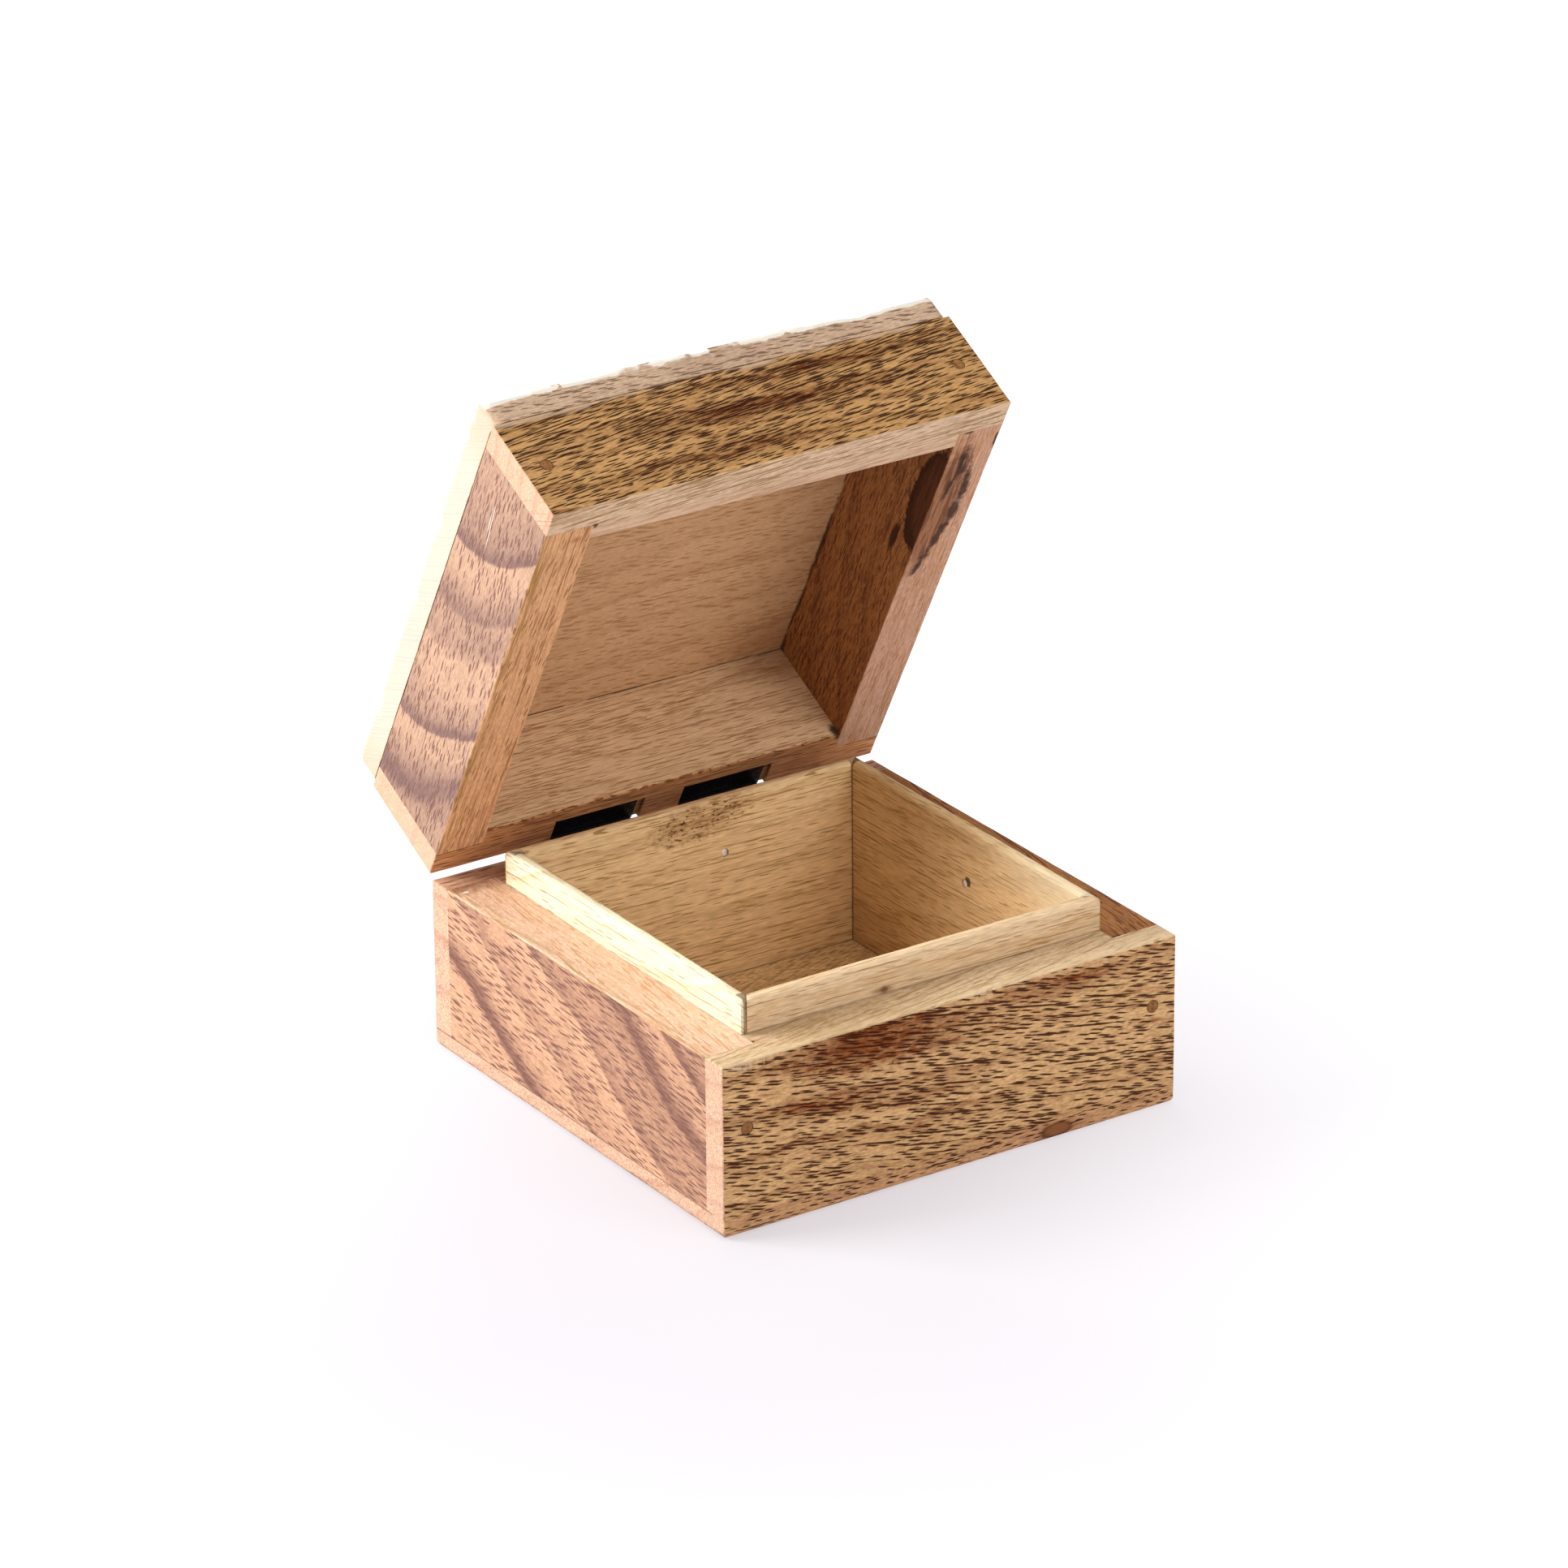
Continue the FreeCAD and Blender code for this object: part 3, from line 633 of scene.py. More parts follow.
class WoodFinish:
    """One board's material, built from zones of colour, a wood pattern and marks."""

    def __init__(self, name, ground, band, pore, rides_lid=False):
        self.material, self.graph = new_material(name)
        self.place = self.graph.millimetres(rides_lid)
        split = self.graph.node("SeparateXYZ", {0: self.place}).outputs
        self.axes = {"x": split[0], "y": split[1], "z": split[2]}
        self.tones = {"Ground": opaque(ground), "Band": opaque(band), "Pore": opaque(pore)}
        self.shares = {"Pore Share": [], "Line Share": [], "Band Share": [], "Fibre": []}
        self.shade = None
        self.marks = []

    def beyond(self, axis, start, end):
        """A mask that grows along an axis between two places."""
        return self.graph.step(self.axes[axis], start, end)

    def far(self, axis, start, end):
        """A mask that grows away from the middle of the box, both ways along an axis."""
        return self.graph.step(self.graph.math("ABSOLUTE", self.axes[axis]), start, end)

    def both(self, first, second):
        """Where two masks meet."""
        return self.graph.math("MULTIPLY", first, second)

    def either(self, first, second):
        """Where one mask or the other lies."""
        return self.graph.math("MAXIMUM", first, second)

    def outside(self, mask):
        """Where a mask doesn't lie."""
        return self.graph.math("SUBTRACT", 1.0, mask)

    def flecks(self, scale, start, end):
        """A mask of random flecks, stretched by three scales per millimetre."""
        stretched = self.graph.vector("MULTIPLY", self.place, scale)
        return self.graph.step(self.graph.noise(stretched, 1.0, 3.0)[0], start, end)

    def spot(self, centre, radii, turn=0.0, ragged=0.4, soft=0.35, about="y"):
        """A ragged oval mask; a radius of zero reaches through the board."""
        through = 1000.0
        scale = [radius if radius else through for radius in radii]
        angles = [math.radians(turn) if about == axis else 0.0 for axis in "xyz"]
        inner = self.graph.mapping(self.place, centre, angles, scale, "TEXTURE")
        inputs = {"Place": inner, "Millimetres": self.place, "Ragged": ragged, "Soft": soft}
        return self.graph.group(spot_group(), inputs)["Mask"]

    def zone(self, mask, ground, band, pore):
        """Gives a part of the board other colours."""
        for socket, tone in (("Ground", ground), ("Band", band), ("Pore", pore)):
            self.tones[socket] = self.graph.mix(mask, self.tones[socket], tone)

    def darken(self, mask, amount):
        """Draws a part of the board towards its band colour, or away from it."""
        added = self.graph.math("MULTIPLY", mask, amount)
        self.shade = added if self.shade is None else self.graph.math("ADD", self.shade, added)

    def mark(self, mask, tone, strength=1.0):
        """Lays a colour over a part of the finished wood."""
        self.marks.append((mask, tone, strength))

    def crowd(self, socket, mask, share):
        """Gives a part of the board its own share of pores, pore lines, bands or fibres."""
        self.shares[socket].append((mask, share))

    def end_strips(self, colours, around):
        """Gives the board's two ends the look of end grain."""
        ends = self.far("x", around.half.x - 0.35, around.half.x - 0.2)
        self.zone(ends, colours.end_grain, colours.end_pore, colours.end_pore)
        self.crowd("Pore Share", ends, 0.0)
        self.crowd("Line Share", ends, 0.0)
        self.mark(self.both(ends, self.flecks((2.4, 2.4, 2.4), 0.5, 0.62)), colours.end_pore, 0.35)

    def sawn_rim(self, around, rides_lid, ground, band, lines, saw_lines=END_SAW_LINES):
        """Gives the sawn rim its own colours, with few short pores and long thin lines."""
        inward = 1 if rides_lid else -1
        rim = self.beyond("z", around.rim + inward * 0.5, around.rim + inward * 0.25)
        self.zone(rim, ground, band, band)
        self.crowd("Pore Share", rim, 0.2)
        self.crowd("Line Share", rim, lines)
        self.crowd("Band Share", rim, 0.15)
        self.crowd("Fibre", rim, 0.3)
        self.mark(self.both(rim, self.flecks(saw_lines, 0.5, 0.62)), band, 0.45)
        return rim

    def bands(self, figure, grain, elsewhere, stops, feather=2.4, wander=9.0, bow=0.0, middle=0.0):
        """Darkens the board in bands; each stop is a place along the figure in millimetres and a strength."""
        graph = self.graph
        wave = graph.math("SUBTRACT", graph.noise(figure, 0.035, 2.0)[0], 0.5)
        fine = graph.noise(graph.vector("MULTIPLY", grain, (0.35, 1.7, 1.7)), 1.0, 2.0)[0]
        fine = graph.math("SUBTRACT", fine, 0.5)
        place = graph.node("SeparateXYZ", {0: figure}).outputs[0]
        place = graph.math("MULTIPLY_ADD", wave, wander, place)
        place = graph.math("MULTIPLY_ADD", fine, feather, place)
        bow_span = 12
        rise = graph.math("MULTIPLY_ADD", self.axes["z"], 1 / bow_span, -middle / bow_span)
        place = graph.math("MULTIPLY_ADD", graph.math("MULTIPLY", rise, rise), bow, place)
        first, last = stops[0][0], stops[-1][0]
        share = graph.node("MapRange", {"Value": place, "From Min": first, "From Max": last}).outputs[0]
        ramp = graph.node("ValToRGB", {0: share})
        elements = ramp.color_ramp.elements
        for number, (spot, strength) in enumerate(stops):
            share = (spot - first) / (last - first)
            if number == 0:
                element = elements[0]
            elif number == len(stops) - 1:
                element = elements[len(elements) - 1]
            else:
                element = elements.new(share)
            element.position = share
            element.color = (strength, strength, strength, 1.0)
        self.darken(self.both(ramp.outputs[0], self.outside(elsewhere)), 1.0)

    def lay(self, along, across, face, seed):
        """Pattern coordinates with X along one direction and depth zero at a point of the main face."""
        first = Vector(along).normalized()
        third = first.cross(Vector(across)).normalized()
        turn = Matrix((first, third.cross(first), third))
        shift = turn @ Vector(face)
        location = (seed[0] - shift.x, seed[1] - shift.y, -shift.z)
        return self.graph.mapping(self.place, location, turn.to_euler())

    def build(self, grain, figure, band_width, band_share, pore_length, pore_width, pore_share, line_share,
              fibre=0.45, roughness=0.5, bump=0.35):
        """Joins the wood pattern and the marks to the shader."""
        graph = self.graph
        inputs = {"Grain": grain, "Figure": figure, "Band Width": band_width, "Band Share": band_share,
                  "Pore Length": pore_length, "Pore Width": pore_width, "Fibre": fibre,
                  "Pore Share": pore_share, "Line Share": line_share,
                  "Shade": 0.0 if self.shade is None else self.shade}
        inputs.update(self.tones)
        for socket, changes in self.shares.items():
            for mask, share in changes:
                change = {"Factor": mask, "A": inputs[socket], "B": share}
                inputs[socket] = graph.node("Mix", change, data_type="FLOAT").outputs[0]
        wood = graph.group(wood_group(), inputs)
        tone = wood["Color"]
        for mask, laid, strength in self.marks:
            share = graph.math("MULTIPLY", mask, strength)
            tone = graph.mix(share, tone, laid)
        satin = graph.step(wood["Height"], -1.0, 1.0, roughness - 0.08, roughness + 0.08)
        rough = graph.math("MULTIPLY_ADD", wood["Pores"], 0.25, satin)
        relief = {"Strength": bump, "Distance": 0.25 * MM, "Height": wood["Height"]}
        normal = graph.node("Bump", relief).outputs[0]
        graph.surface({"Base Color": tone, "Roughness": rough, "Normal": normal, "Specular IOR Level": 0.06})
        return self.material


# Wood finishes, one for each board


def base_front_wood(colours, around):
    """Golden wood with dark dashes, a pale sawn rim and end-grain strips."""
    front = Block("base_front_wall")
    wood = WoodFinish("base_front_wood", colours.front_ground, colours.front_band, colours.front_pore)
    wood.darken(wood.spot((-22, 0, 38), (42, 0, 9), 4, 0.8, 0.95), 0.85)
    wood.darken(wood.spot((-34, 0, 27), (22, 0, 5), 4, 0.8, 0.95), 0.55)
    wood.darken(wood.spot((-10, 0, 22), (26, 0, 3), 3, 0.9, 0.9), 0.35)
    wood.darken(wood.spot((30, 0, 39), (28, 0, 5), 0, 0.8, 0.95), 0.45)
    wood.darken(wood.spot((36, 0, 20), (34, 0, 11), 0, 0.9, 0.9), -0.4)
    wood.end_strips(colours, around)
    rim = wood.sawn_rim(around, False, colours.rim_ground, colours.rim_band, 0.55)
    outer = wood.both(rim, wood.beyond("y", front.low.y + 5, front.low.y + 1))
    wood.mark(outer, colours.rim_cream, 0.3)
    for centre, reach in ((-53, 9.0), (8.5, 4.5)):
        torn = wood.both(wood.spot((centre, 0, around.rim - 0.6), (reach, 0, 2.2), 0, 0.5, 0.3),
                         wood.flecks((1.0, 0.2, 0.1), 0.46, 0.54))
        face = wood.beyond("y", front.low.y + 0.6, front.low.y + 0.3)
        wood.mark(wood.both(torn, face), colours.rim_ground, 0.45)
    wood.mark(wood.spot((-49.7, -54.2, around.rim), (1.3, 0.7, 1), 20, 0.8, 0.5, "z"), colours.gap, 0.8)
    grain = wood.lay((1, 0.11, -0.06), UPWARD, front.low, (13, 7))
    figure = wood.lay((0.05, 0, 1), RIGHTWARD, front.low, (3, 40))
    return wood.build(grain, figure, band_width=9.0, band_share=0.5, pore_length=5.8, pore_width=0.78,
                      pore_share=0.78, line_share=0.3, fibre=0.4)


def base_back_wood(colours, around):
    """The back board: like the front, with a browner rim."""
    back = Block("base_back_wall")
    wood = WoodFinish("base_back_wood", colours.front_ground, colours.front_band, colours.front_pore)
    wood.end_strips(colours, around)
    wood.sawn_rim(around, False, colours.side_ground, colours.side_band, 0.4)
    grain = wood.lay((1, 0, 0.05), UPWARD, back.high, (71, 19))
    figure = wood.lay((-0.05, 0, 1), RIGHTWARD, back.high, (31, 4))
    return wood.build(grain, figure, band_width=11.0, band_share=0.6, pore_length=5.6, pore_width=0.8,
                      pore_share=0.75, line_share=0.3, fibre=0.55)


def base_side_wood(colours, around, name, left):
    """Peach wood with slanting mauve bands and an orange-tan rim."""
    wall = Block("base_left_wall" if left else "base_right_wall")
    face = wall.low if left else wall.high
    wood = WoodFinish(name, colours.side_ground, colours.side_band, colours.side_pore)
    if left:
        rim = wood.sawn_rim(around, False, colours.side_rim_ground, colours.side_rim_band, 0.3,
                            SIDE_SAW_LINES)
        olive = wood.both(rim, wood.beyond("x", wall.low.x + 5, wall.low.x))
        wood.mark(wood.both(olive, wood.flecks((1.6, 0.07, 0.5), 0.45, 0.6)), colours.rim_olive, 0.5)
        torn = wood.spot((wall.low.x + 5, wall.high.y, around.rim), (9, 6.5, 1), 0, 1.0, 0.9)
        wood.mark(torn, colours.front_band, 0.8)
        wood.mark(wood.spot((-59.5, 51.4, around.rim), (1.0, 0.6, 1), 0, 0.6, 0.4), colours.wash, 0.9)
    else:
        rim = wood.sawn_rim(around, False, colours.red_ground, colours.red_band, 0.4, SIDE_SAW_LINES)
        notch = wood.spot((wall.low.x + 1.5, wall.low.y + 0.3, around.rim), (1.8, 0.6, 1), 0, 0.8, 0.4)
        wood.mark(notch, colours.gap, 0.85)
    grain = wood.lay((0, 1, 0.15), UPWARD, face, (5, 3))
    figure = wood.lay((0, 0.545, -0.839), BACKWARD, (0, 0, 0), (0, 0))
    wood.bands(figure, grain, rim, BASE_SIDE_BANDS)
    return wood.build(grain, figure, band_width=9.0, band_share=0.15, pore_length=5.2, pore_width=0.74,
                      pore_share=0.52, line_share=0.04, fibre=0.34)


def base_bottom_wood(colours):
    """The bottom panel: reddish along its front edge, with a knot there; tan inside the tray."""
    bottom = Block("base_bottom_panel")
    liner = Block("liner_right_board")
    wood = WoodFinish("base_bottom_wood", colours.bottom_ground, colours.bottom_band, colours.front_pore)
    inside = wood.both(wood.beyond("z", bottom.high.z - 0.3, bottom.high.z - 0.2),
                       wood.beyond("y", bottom.low.y + 4, bottom.low.y + 5))
    wood.zone(inside, colours.tray_ground, colours.tray_band, colours.tray_pore)
    liner_back = Block("liner_back_board")
    joint = wood.either(wood.far("x", liner.low.x - 0.5, liner.low.x - 0.2),
                        wood.far("y", liner_back.low.y - 0.5, liner_back.low.y - 0.2))
    wood.mark(wood.both(inside, joint), colours.gap, 0.75)
    wood.end_strips(colours, Surroundings(False))
    knot = (29.0, bottom.low.y, 2.2)
    wood.darken(wood.spot(knot, (16, 4, 3.4), 0, 0.5, 0.9), 0.6)
    wood.mark(wood.spot(knot, (5.4, 4, 2.5), 0, 0.3, 0.3), colours.knot_rim, 0.85)
    wood.mark(wood.spot((29.4, bottom.low.y, 2.5), (4.5, 4, 1.8), 0, 0.3, 0.5), colours.knot, 0.9)
    grain = wood.lay(RIGHTWARD, UPWARD, bottom.low, (29, 2))
    figure = wood.lay((0, 0.3, 1), RIGHTWARD, bottom.low, (1, 5))
    return wood.build(grain, figure, band_width=7.0, band_share=0.6, pore_length=3.6, pore_width=0.62,
                      pore_share=0.5, line_share=0.1, fibre=0.45)


def tray_wood(colours, side, seed):
    """Raw straw-coloured tray boards with fine short dashes and dark corner joints."""
    board = Block("liner_%s_board" % side)
    across = side in ("front", "back")
    ground = {"left": colours.tray_pale, "front": colours.tray_front, "back": colours.tray_back,
              "right": colours.tray_ground}[side]
    wood = WoodFinish("tray_%s_wood" % side, ground, colours.tray_band, colours.tray_pore)
    rim = Surroundings(False).rim
    corner = Block("liner_right_board").low.x if across else Block("liner_back_board").low.y
    level = wood.beyond("z", rim + 0.1, rim + 0.35)
    if across:
        outer = wood.far("y", board.low.y if side == "back" else -board.high.y, 49.6)
        joint = wood.far("x", corner - 0.4, corner - 0.15)
    else:
        outer = wood.far("x", 48.6, 49.0)
        joint = wood.far("y", corner - 0.4, corner - 0.15)
    inner = wood.outside(outer)
    wood.mark(wood.both(outer, wood.outside(level)), colours.gap, 0.4)
    wood.mark(wood.both(inner, joint), colours.stain, 0.65)
    if side == "front":
        knot = (-10.8, board.low.y, rim + 1.0)
        wood.mark(wood.spot(knot, (4.2, 1, 1.5), 0, 0.8, 0.9), colours.knot, 0.75)
        wood.mark(wood.spot(knot, (1.7, 1, 1.0), 0, 0.6, 0.7), colours.knot_rim, 0.55)
    if side == "right":
        # Painted shade on the right board's lower back, where the lid and the left board shade it, and a painted
        # pool of light on its upper front
        wood.darken(wood.spot((0, 44, 6), (0, 46, 24), 0, 0.2, 1.0), 0.55)
        wood.mark(wood.spot((0, -46, 52), (0, 52, 18), 0, 0.2, 1.0), colours.tray_pale, 0.6)
        # Painted shade in the recess of the brad's seat
        wood.mark(wood.spot((board.low.x, -1.4, 38.0), (1, 1.5, 1.5), 0, 0.4, 0.4), colours.gap, 0.85)
    if side == "back":
        rough = wood.spot((3, board.low.y, rim + 4), (18, 1.5, 6.0), -8, 0.7, 0.5)
        wood.darken(rough, 0.45)
        wood.mark(wood.both(rough, wood.flecks((0.3, 1.0, 1.7), 0.52, 0.6)), colours.front_band, 0.6)
        wood.mark(wood.both(rough, wood.flecks((0.7, 1.0, 1.4), 0.57, 0.63)), colours.knot_rim, 0.85)
    along = RIGHTWARD if across else BACKWARD
    grain = wood.lay(along, UPWARD, board.low, (seed, 2 * seed))
    grain = wood.graph.vector("MULTIPLY", grain, (0.4, 1.0, 1.0))
    figure = wood.lay((0, 0.2, 1), along, board.low, (seed, 7))
    share, fibre = {"left": (0.08, 0.22), "front": (0.12, 0.28)}.get(side, (0.17, 0.25))
    return wood.build(grain, figure, band_width=8.0, band_share=0.5, pore_length=2.2, pore_width=0.42,
                      pore_share=share, line_share=0.25, fibre=fibre, roughness=0.62, bump=0.3)


def lid_front_wood(colours, around):
    """Amber wood with long dark streaks, darkest in the middle, and a pale sawn rim."""
    front = Block("lid_front_wall")
    wood = WoodFinish("lid_front_wood", colours.lid_ground, colours.lid_band, colours.lid_pore, True)
    wood.darken(wood.spot((2, 0, 60), (58, 0, 6), 2, 0.8, 0.95), 0.62)
    wood.darken(wood.spot((-8, 0, 50), (40, 0, 5), 0, 0.8, 0.95), 0.45)
    wood.darken(wood.spot((26, 0, 68), (44, 0, 4), 0, 0.8, 0.95), 0.5)
    wood.end_strips(colours, around)
    rim = wood.sawn_rim(around, True, colours.lid_rim_ground, colours.rim_line, 0.75)
    wood.mark(wood.both(rim, wood.beyond("y", front.low.y + 5, front.low.y + 10)), colours.end_grain, 0.45)
    # A chip at the rim's inner corner, its dark painted as shade in a notch that the mesh doesn't cut
    hole = (-49.6, front.high.y - 4.0, around.rim)
    wood.mark(wood.spot(hole, (1.2, 0.8, 1), 0, 0.8, 0.5), colours.gap, 0.85)
    smear = wood.both(wood.beyond("z", around.top - 2.2, around.top - 0.6),
                      wood.flecks((0.12, 0.3, 0.5), 0.4, 0.6))
    wood.mark(smear, colours.panel_ground, 0.8)
    grain = wood.lay((1, -0.12, 0.02), UPWARD, front.low, (3, 17))
    figure = wood.lay((0.03, 0, 1), RIGHTWARD, front.low, (13, 4))
    upper = wood.beyond("z", around.rim + 12, around.rim + 18)
    wood.crowd("Line Share", wood.outside(wood.either(upper, rim)), 0.25)
    return wood.build(grain, figure, band_width=7.0, band_share=0.5, pore_length=6.0, pore_width=0.62,
                      pore_share=0.85, line_share=0.95, fibre=0.32)


def lid_back_wood(colours, around):
    """The lid's back board: tan inside, brown at the rim, golden outside."""
    back = Block("lid_back_wall")
    wood = WoodFinish("lid_back_wood", colours.lid_ground, colours.lid_band, colours.lid_pore, True)
    inside = wood.beyond("y", back.low.y + 0.4, back.low.y + 0.2)
    wood.zone(inside, colours.lid_back_inner, colours.lid_inner_band, colours.lid_inner_pore)
    wood.end_strips(colours, around)
    wood.sawn_rim(around, True, colours.back_rim_ground, colours.red_band, 0.3)
    torn = wood.both(wood.beyond("z", around.rim + 1.1, around.rim + 0.4),
                     wood.flecks((0.5, 1.0, 1.2), 0.5, 0.6))
    wood.mark(wood.both(torn, inside), colours.front_band, 0.8)
    rough = wood.spot((10, back.low.y, 65), (30, 3, 8), 0, 0.9, 0.8)
    wood.mark(wood.both(rough, wood.flecks((0.22, 1.0, 1.8), 0.52, 0.62)), colours.rim_olive, 0.55)
    # Painted shade at the inner face's right end, in the corner with the right wall and the top
    wood.darken(wood.spot((48, back.low.y, 70), (20, 3, 10), 0, 0.6, 0.9), 0.6)
    corner = (Block("lid_right_wall").low.x - 0.5, back.low.y, around.rim + 1.5)
    wood.mark(wood.spot(corner, (1.8, 2.5, 3.0), 0, 0.8, 0.6), colours.gap, 0.9)
    grain = wood.lay((1, 0, 0.03), UPWARD, back.low, (41, 23))
    grain = wood.graph.vector("MULTIPLY", grain, (0.5, 1.0, 1.0))
    figure = wood.lay((0.1, 0, 1), RIGHTWARD, back.low, (17, 14))
    return wood.build(grain, figure, band_width=9.0, band_share=0.3, pore_length=2.6, pore_width=0.4,
                      pore_share=0.32, line_share=0.45, fibre=0.2)


def lid_left_wood(colours, around):
    """Peach wood with mauve bands straight across the board."""
    wall = Block("lid_left_wall")
    wood = WoodFinish("lid_left_wood", colours.lid_side_ground, colours.lid_side_band, colours.side_pore,
                      rides_lid=True)
    inside = wood.beyond("x", wall.high.x - 0.4, wall.high.x - 0.2)
    wood.zone(inside, colours.lid_inner_ground, colours.lid_inner_band, colours.lid_inner_pore)
    rim = wood.sawn_rim(around, True, colours.lid_side_rim, colours.lid_rim_line, 0.35, SIDE_SAW_LINES)
    olive = wood.both(rim, wood.beyond("x", wall.low.x + 5, wall.low.x))
    wood.mark(wood.both(olive, wood.flecks((1.6, 0.07, 0.5), 0.45, 0.6)), colours.rim_olive, 0.7)
    wood.mark(wood.spot((-53.3, -51.3, around.rim), (2.4, 1.6, 1), 0, 0.8, 0.8), colours.knot, 0.6)
    for shift in (0.0, 0.8):
        middle = (wall.low.x, -39.2 - shift, 62.1 + shift)
        scratch = wood.spot(middle, (1, 9.0 - 4 * shift, 0.13), -5.7, 0.0, 0.6, "x")
        wood.mark(scratch, colours.wash, 0.85)
    grain = wood.lay((0, 1, -0.02), UPWARD, wall.low, (23, 9))
    figure = wood.lay((0, 0.894, -0.447), BACKWARD, (0, 0, 58), (0, 0))
    wood.bands(figure, grain, wood.either(rim, inside), LID_LEFT_BANDS, wander=4.0, bow=2.7, middle=62.0)
    return wood.build(grain, figure, band_width=25.0, band_share=0.15, pore_length=4.4, pore_width=0.66,
                      pore_share=0.46, line_share=0.04, fibre=0.28)


def lid_right_wood(colours, around):
    """Reddish wood with dark stains on the rim and beside it."""
    wall = Block("lid_right_wall")
    wood = WoodFinish("lid_right_wood", colours.lid_side_ground, colours.lid_side_band, colours.side_pore,
                      rides_lid=True)
    inside = wood.beyond("x", wall.low.x + 0.4, wall.low.x + 0.2)
    wood.zone(inside, colours.red_ground, colours.red_band, colours.red_band)
    rim = wood.sawn_rim(around, True, colours.right_rim, colours.red_ground, 0.2, SIDE_SAW_LINES)
    heart = wood.both(rim, wood.spot((52.2, -29, around.rim), (6.4, 26, 3), 3, 0.5, 0.4, "z"))
    wood.mark(heart, colours.knot, 0.75)
    wood.mark(wood.both(heart, wood.flecks((1.2, 0.12, 0.5), 0.46, 0.58)), colours.red_band, 0.8)
    ragged = wood.flecks((0.8, 0.12, 0.5), 0.32, 0.46)
    for centre, radii, turn in RIM_STAINS:
        streak = wood.spot((centre[0], centre[1], around.rim), (radii[0], radii[1], 3), turn, 1.0, 0.6, "z")
        wood.mark(wood.both(rim, wood.both(streak, ragged)), colours.stain, 0.9)
    nick = wood.spot((52.8, wall.low.y + 0.4, around.rim), (1.8, 0.7, 1), 0, 0.8, 0.5)
    wood.mark(nick, colours.gap, 0.75)
    face = wall.low.x
    wall_face = wood.both(inside, wood.beyond("z", around.rim + 0.2, around.rim + 0.5))
    edge = wood.spot((face, -31, around.rim + 1.2), (3, 18.0, 6.6), 2, 0.45, 0.12, "x")
    wood.mark(wood.both(wall_face, edge), colours.stain, 0.95)
    patch = wood.both(wall_face, wood.spot((face, -32, around.rim + 0.6), (3, 16.6, 5.7), 2, 0.45, 0.3, "x"))
    wood.mark(patch, colours.red_band, 0.75)
    wood.mark(wood.both(patch, wood.flecks((1.0, 0.1, 0.9), 0.45, 0.6)), colours.stain, 0.5)
    wood.mark(wood.spot((face, -12.4, 51.0), (3, 6.6, 1.5), 0, 0.5, 0.5, "x"), colours.stain, 0.92)
    glue = wood.both(inside, wood.beyond("z", around.top - 1.2, around.top - 0.5))
    wood.mark(wood.both(glue, wood.flecks((0.13, 0.13, 0.13), 0.42, 0.58)), colours.stain, 0.7)
    grain = wood.lay((0, 1, 0.02), UPWARD, wall.low, (63, 31))
    figure = wood.lay((0, 0.3, 1), BACKWARD, wall.low, (23, 5))
    return wood.build(grain, figure, band_width=12.0, band_share=0.5, pore_length=3.6, pore_width=0.55,
                      pore_share=0.35, line_share=0.2, fibre=0.5)


def lid_top_wood(colours):
    """The carved panel: washed wood at its edges, white wash in the carving, tan below."""
    panel = Block("lid_top_panel")
    wood = WoodFinish("lid_top_wood", colours.panel_ground, colours.panel_band, colours.panel_pore, True)
    graph = wood.graph
    below = wood.beyond("z", panel.low.z + 0.25, panel.low.z + 0.1)
    wood.zone(below, colours.lid_inner_ground, colours.lid_inner_band, colours.lid_inner_pore)
    right, back = Block("lid_right_wall"), Block("lid_back_wall")
    joint = wood.either(wood.far("x", right.low.x - 0.7, right.low.x - 0.2),
                        wood.far("y", back.low.y - 0.7, back.low.y - 0.2))
    dotted = wood.both(below, wood.both(joint, wood.flecks((0.2, 0.2, 0.2), 0.34, 0.56)))
    wood.mark(dotted, colours.stain, 0.8)
    # Painted shade on the underside in the corner by the right and back walls
    wood.darken(wood.both(below, wood.spot((44, 46, panel.low.z), (24, 12, 3), 0, 0.6, 0.9)), 0.6)
    cut = graph.node("Attribute", {}, attribute_name="carved_depth").outputs["Fac"]
    patchy = graph.noise(wood.place, 0.16, 4.0, 0.65)[0]
    level = graph.step(wood.axes["z"], panel.low.z + 2.0, panel.high.z - 1.5, -0.55, 0.0)
    cover = graph.math("ADD", graph.math("MULTIPLY_ADD", cut, 0.4, level), patchy)
    wood.mark(graph.step(cover, 0.55, 0.8), colours.wash, 0.92)
    pale = wood.both(wood.beyond("x", panel.low.x + 1.6, panel.low.x + 0.6),
                     wood.beyond("z", panel.low.z, panel.low.z + 0.3))
    wood.mark(pale, colours.panel_pale, 0.85)
    wood.mark(wood.both(pale, wood.far("y", 44, 58)), colours.end_grain, 0.5)
    for middle, reach in ((14.0, 9.0), (25.0, 5.0), (46.0, 6.0), (-14.0, 4.0), (-27.0, 3.0), (-46.0, 5.0)):
        patch = wood.spot((middle, panel.low.y, panel.high.z - 1.2), (reach, 2.0, 1.5), 0, 1.2, 0.25)
        wood.mark(patch, colours.wash, 0.92)
    grain = wood.lay(RIGHTWARD, UPWARD, panel.low, (53, 3))
    figure = wood.lay((0.1, 1, 0.2), RIGHTWARD, panel.low, (3, 15))
    wood.crowd("Pore Share", below, 0.3)
    wood.crowd("Fibre", below, 0.17)
    return wood.build(grain, figure, band_width=14.0, band_share=0.4, pore_length=4.4, pore_width=0.55,
                      pore_share=0.4, line_share=0.15, fibre=0.34)


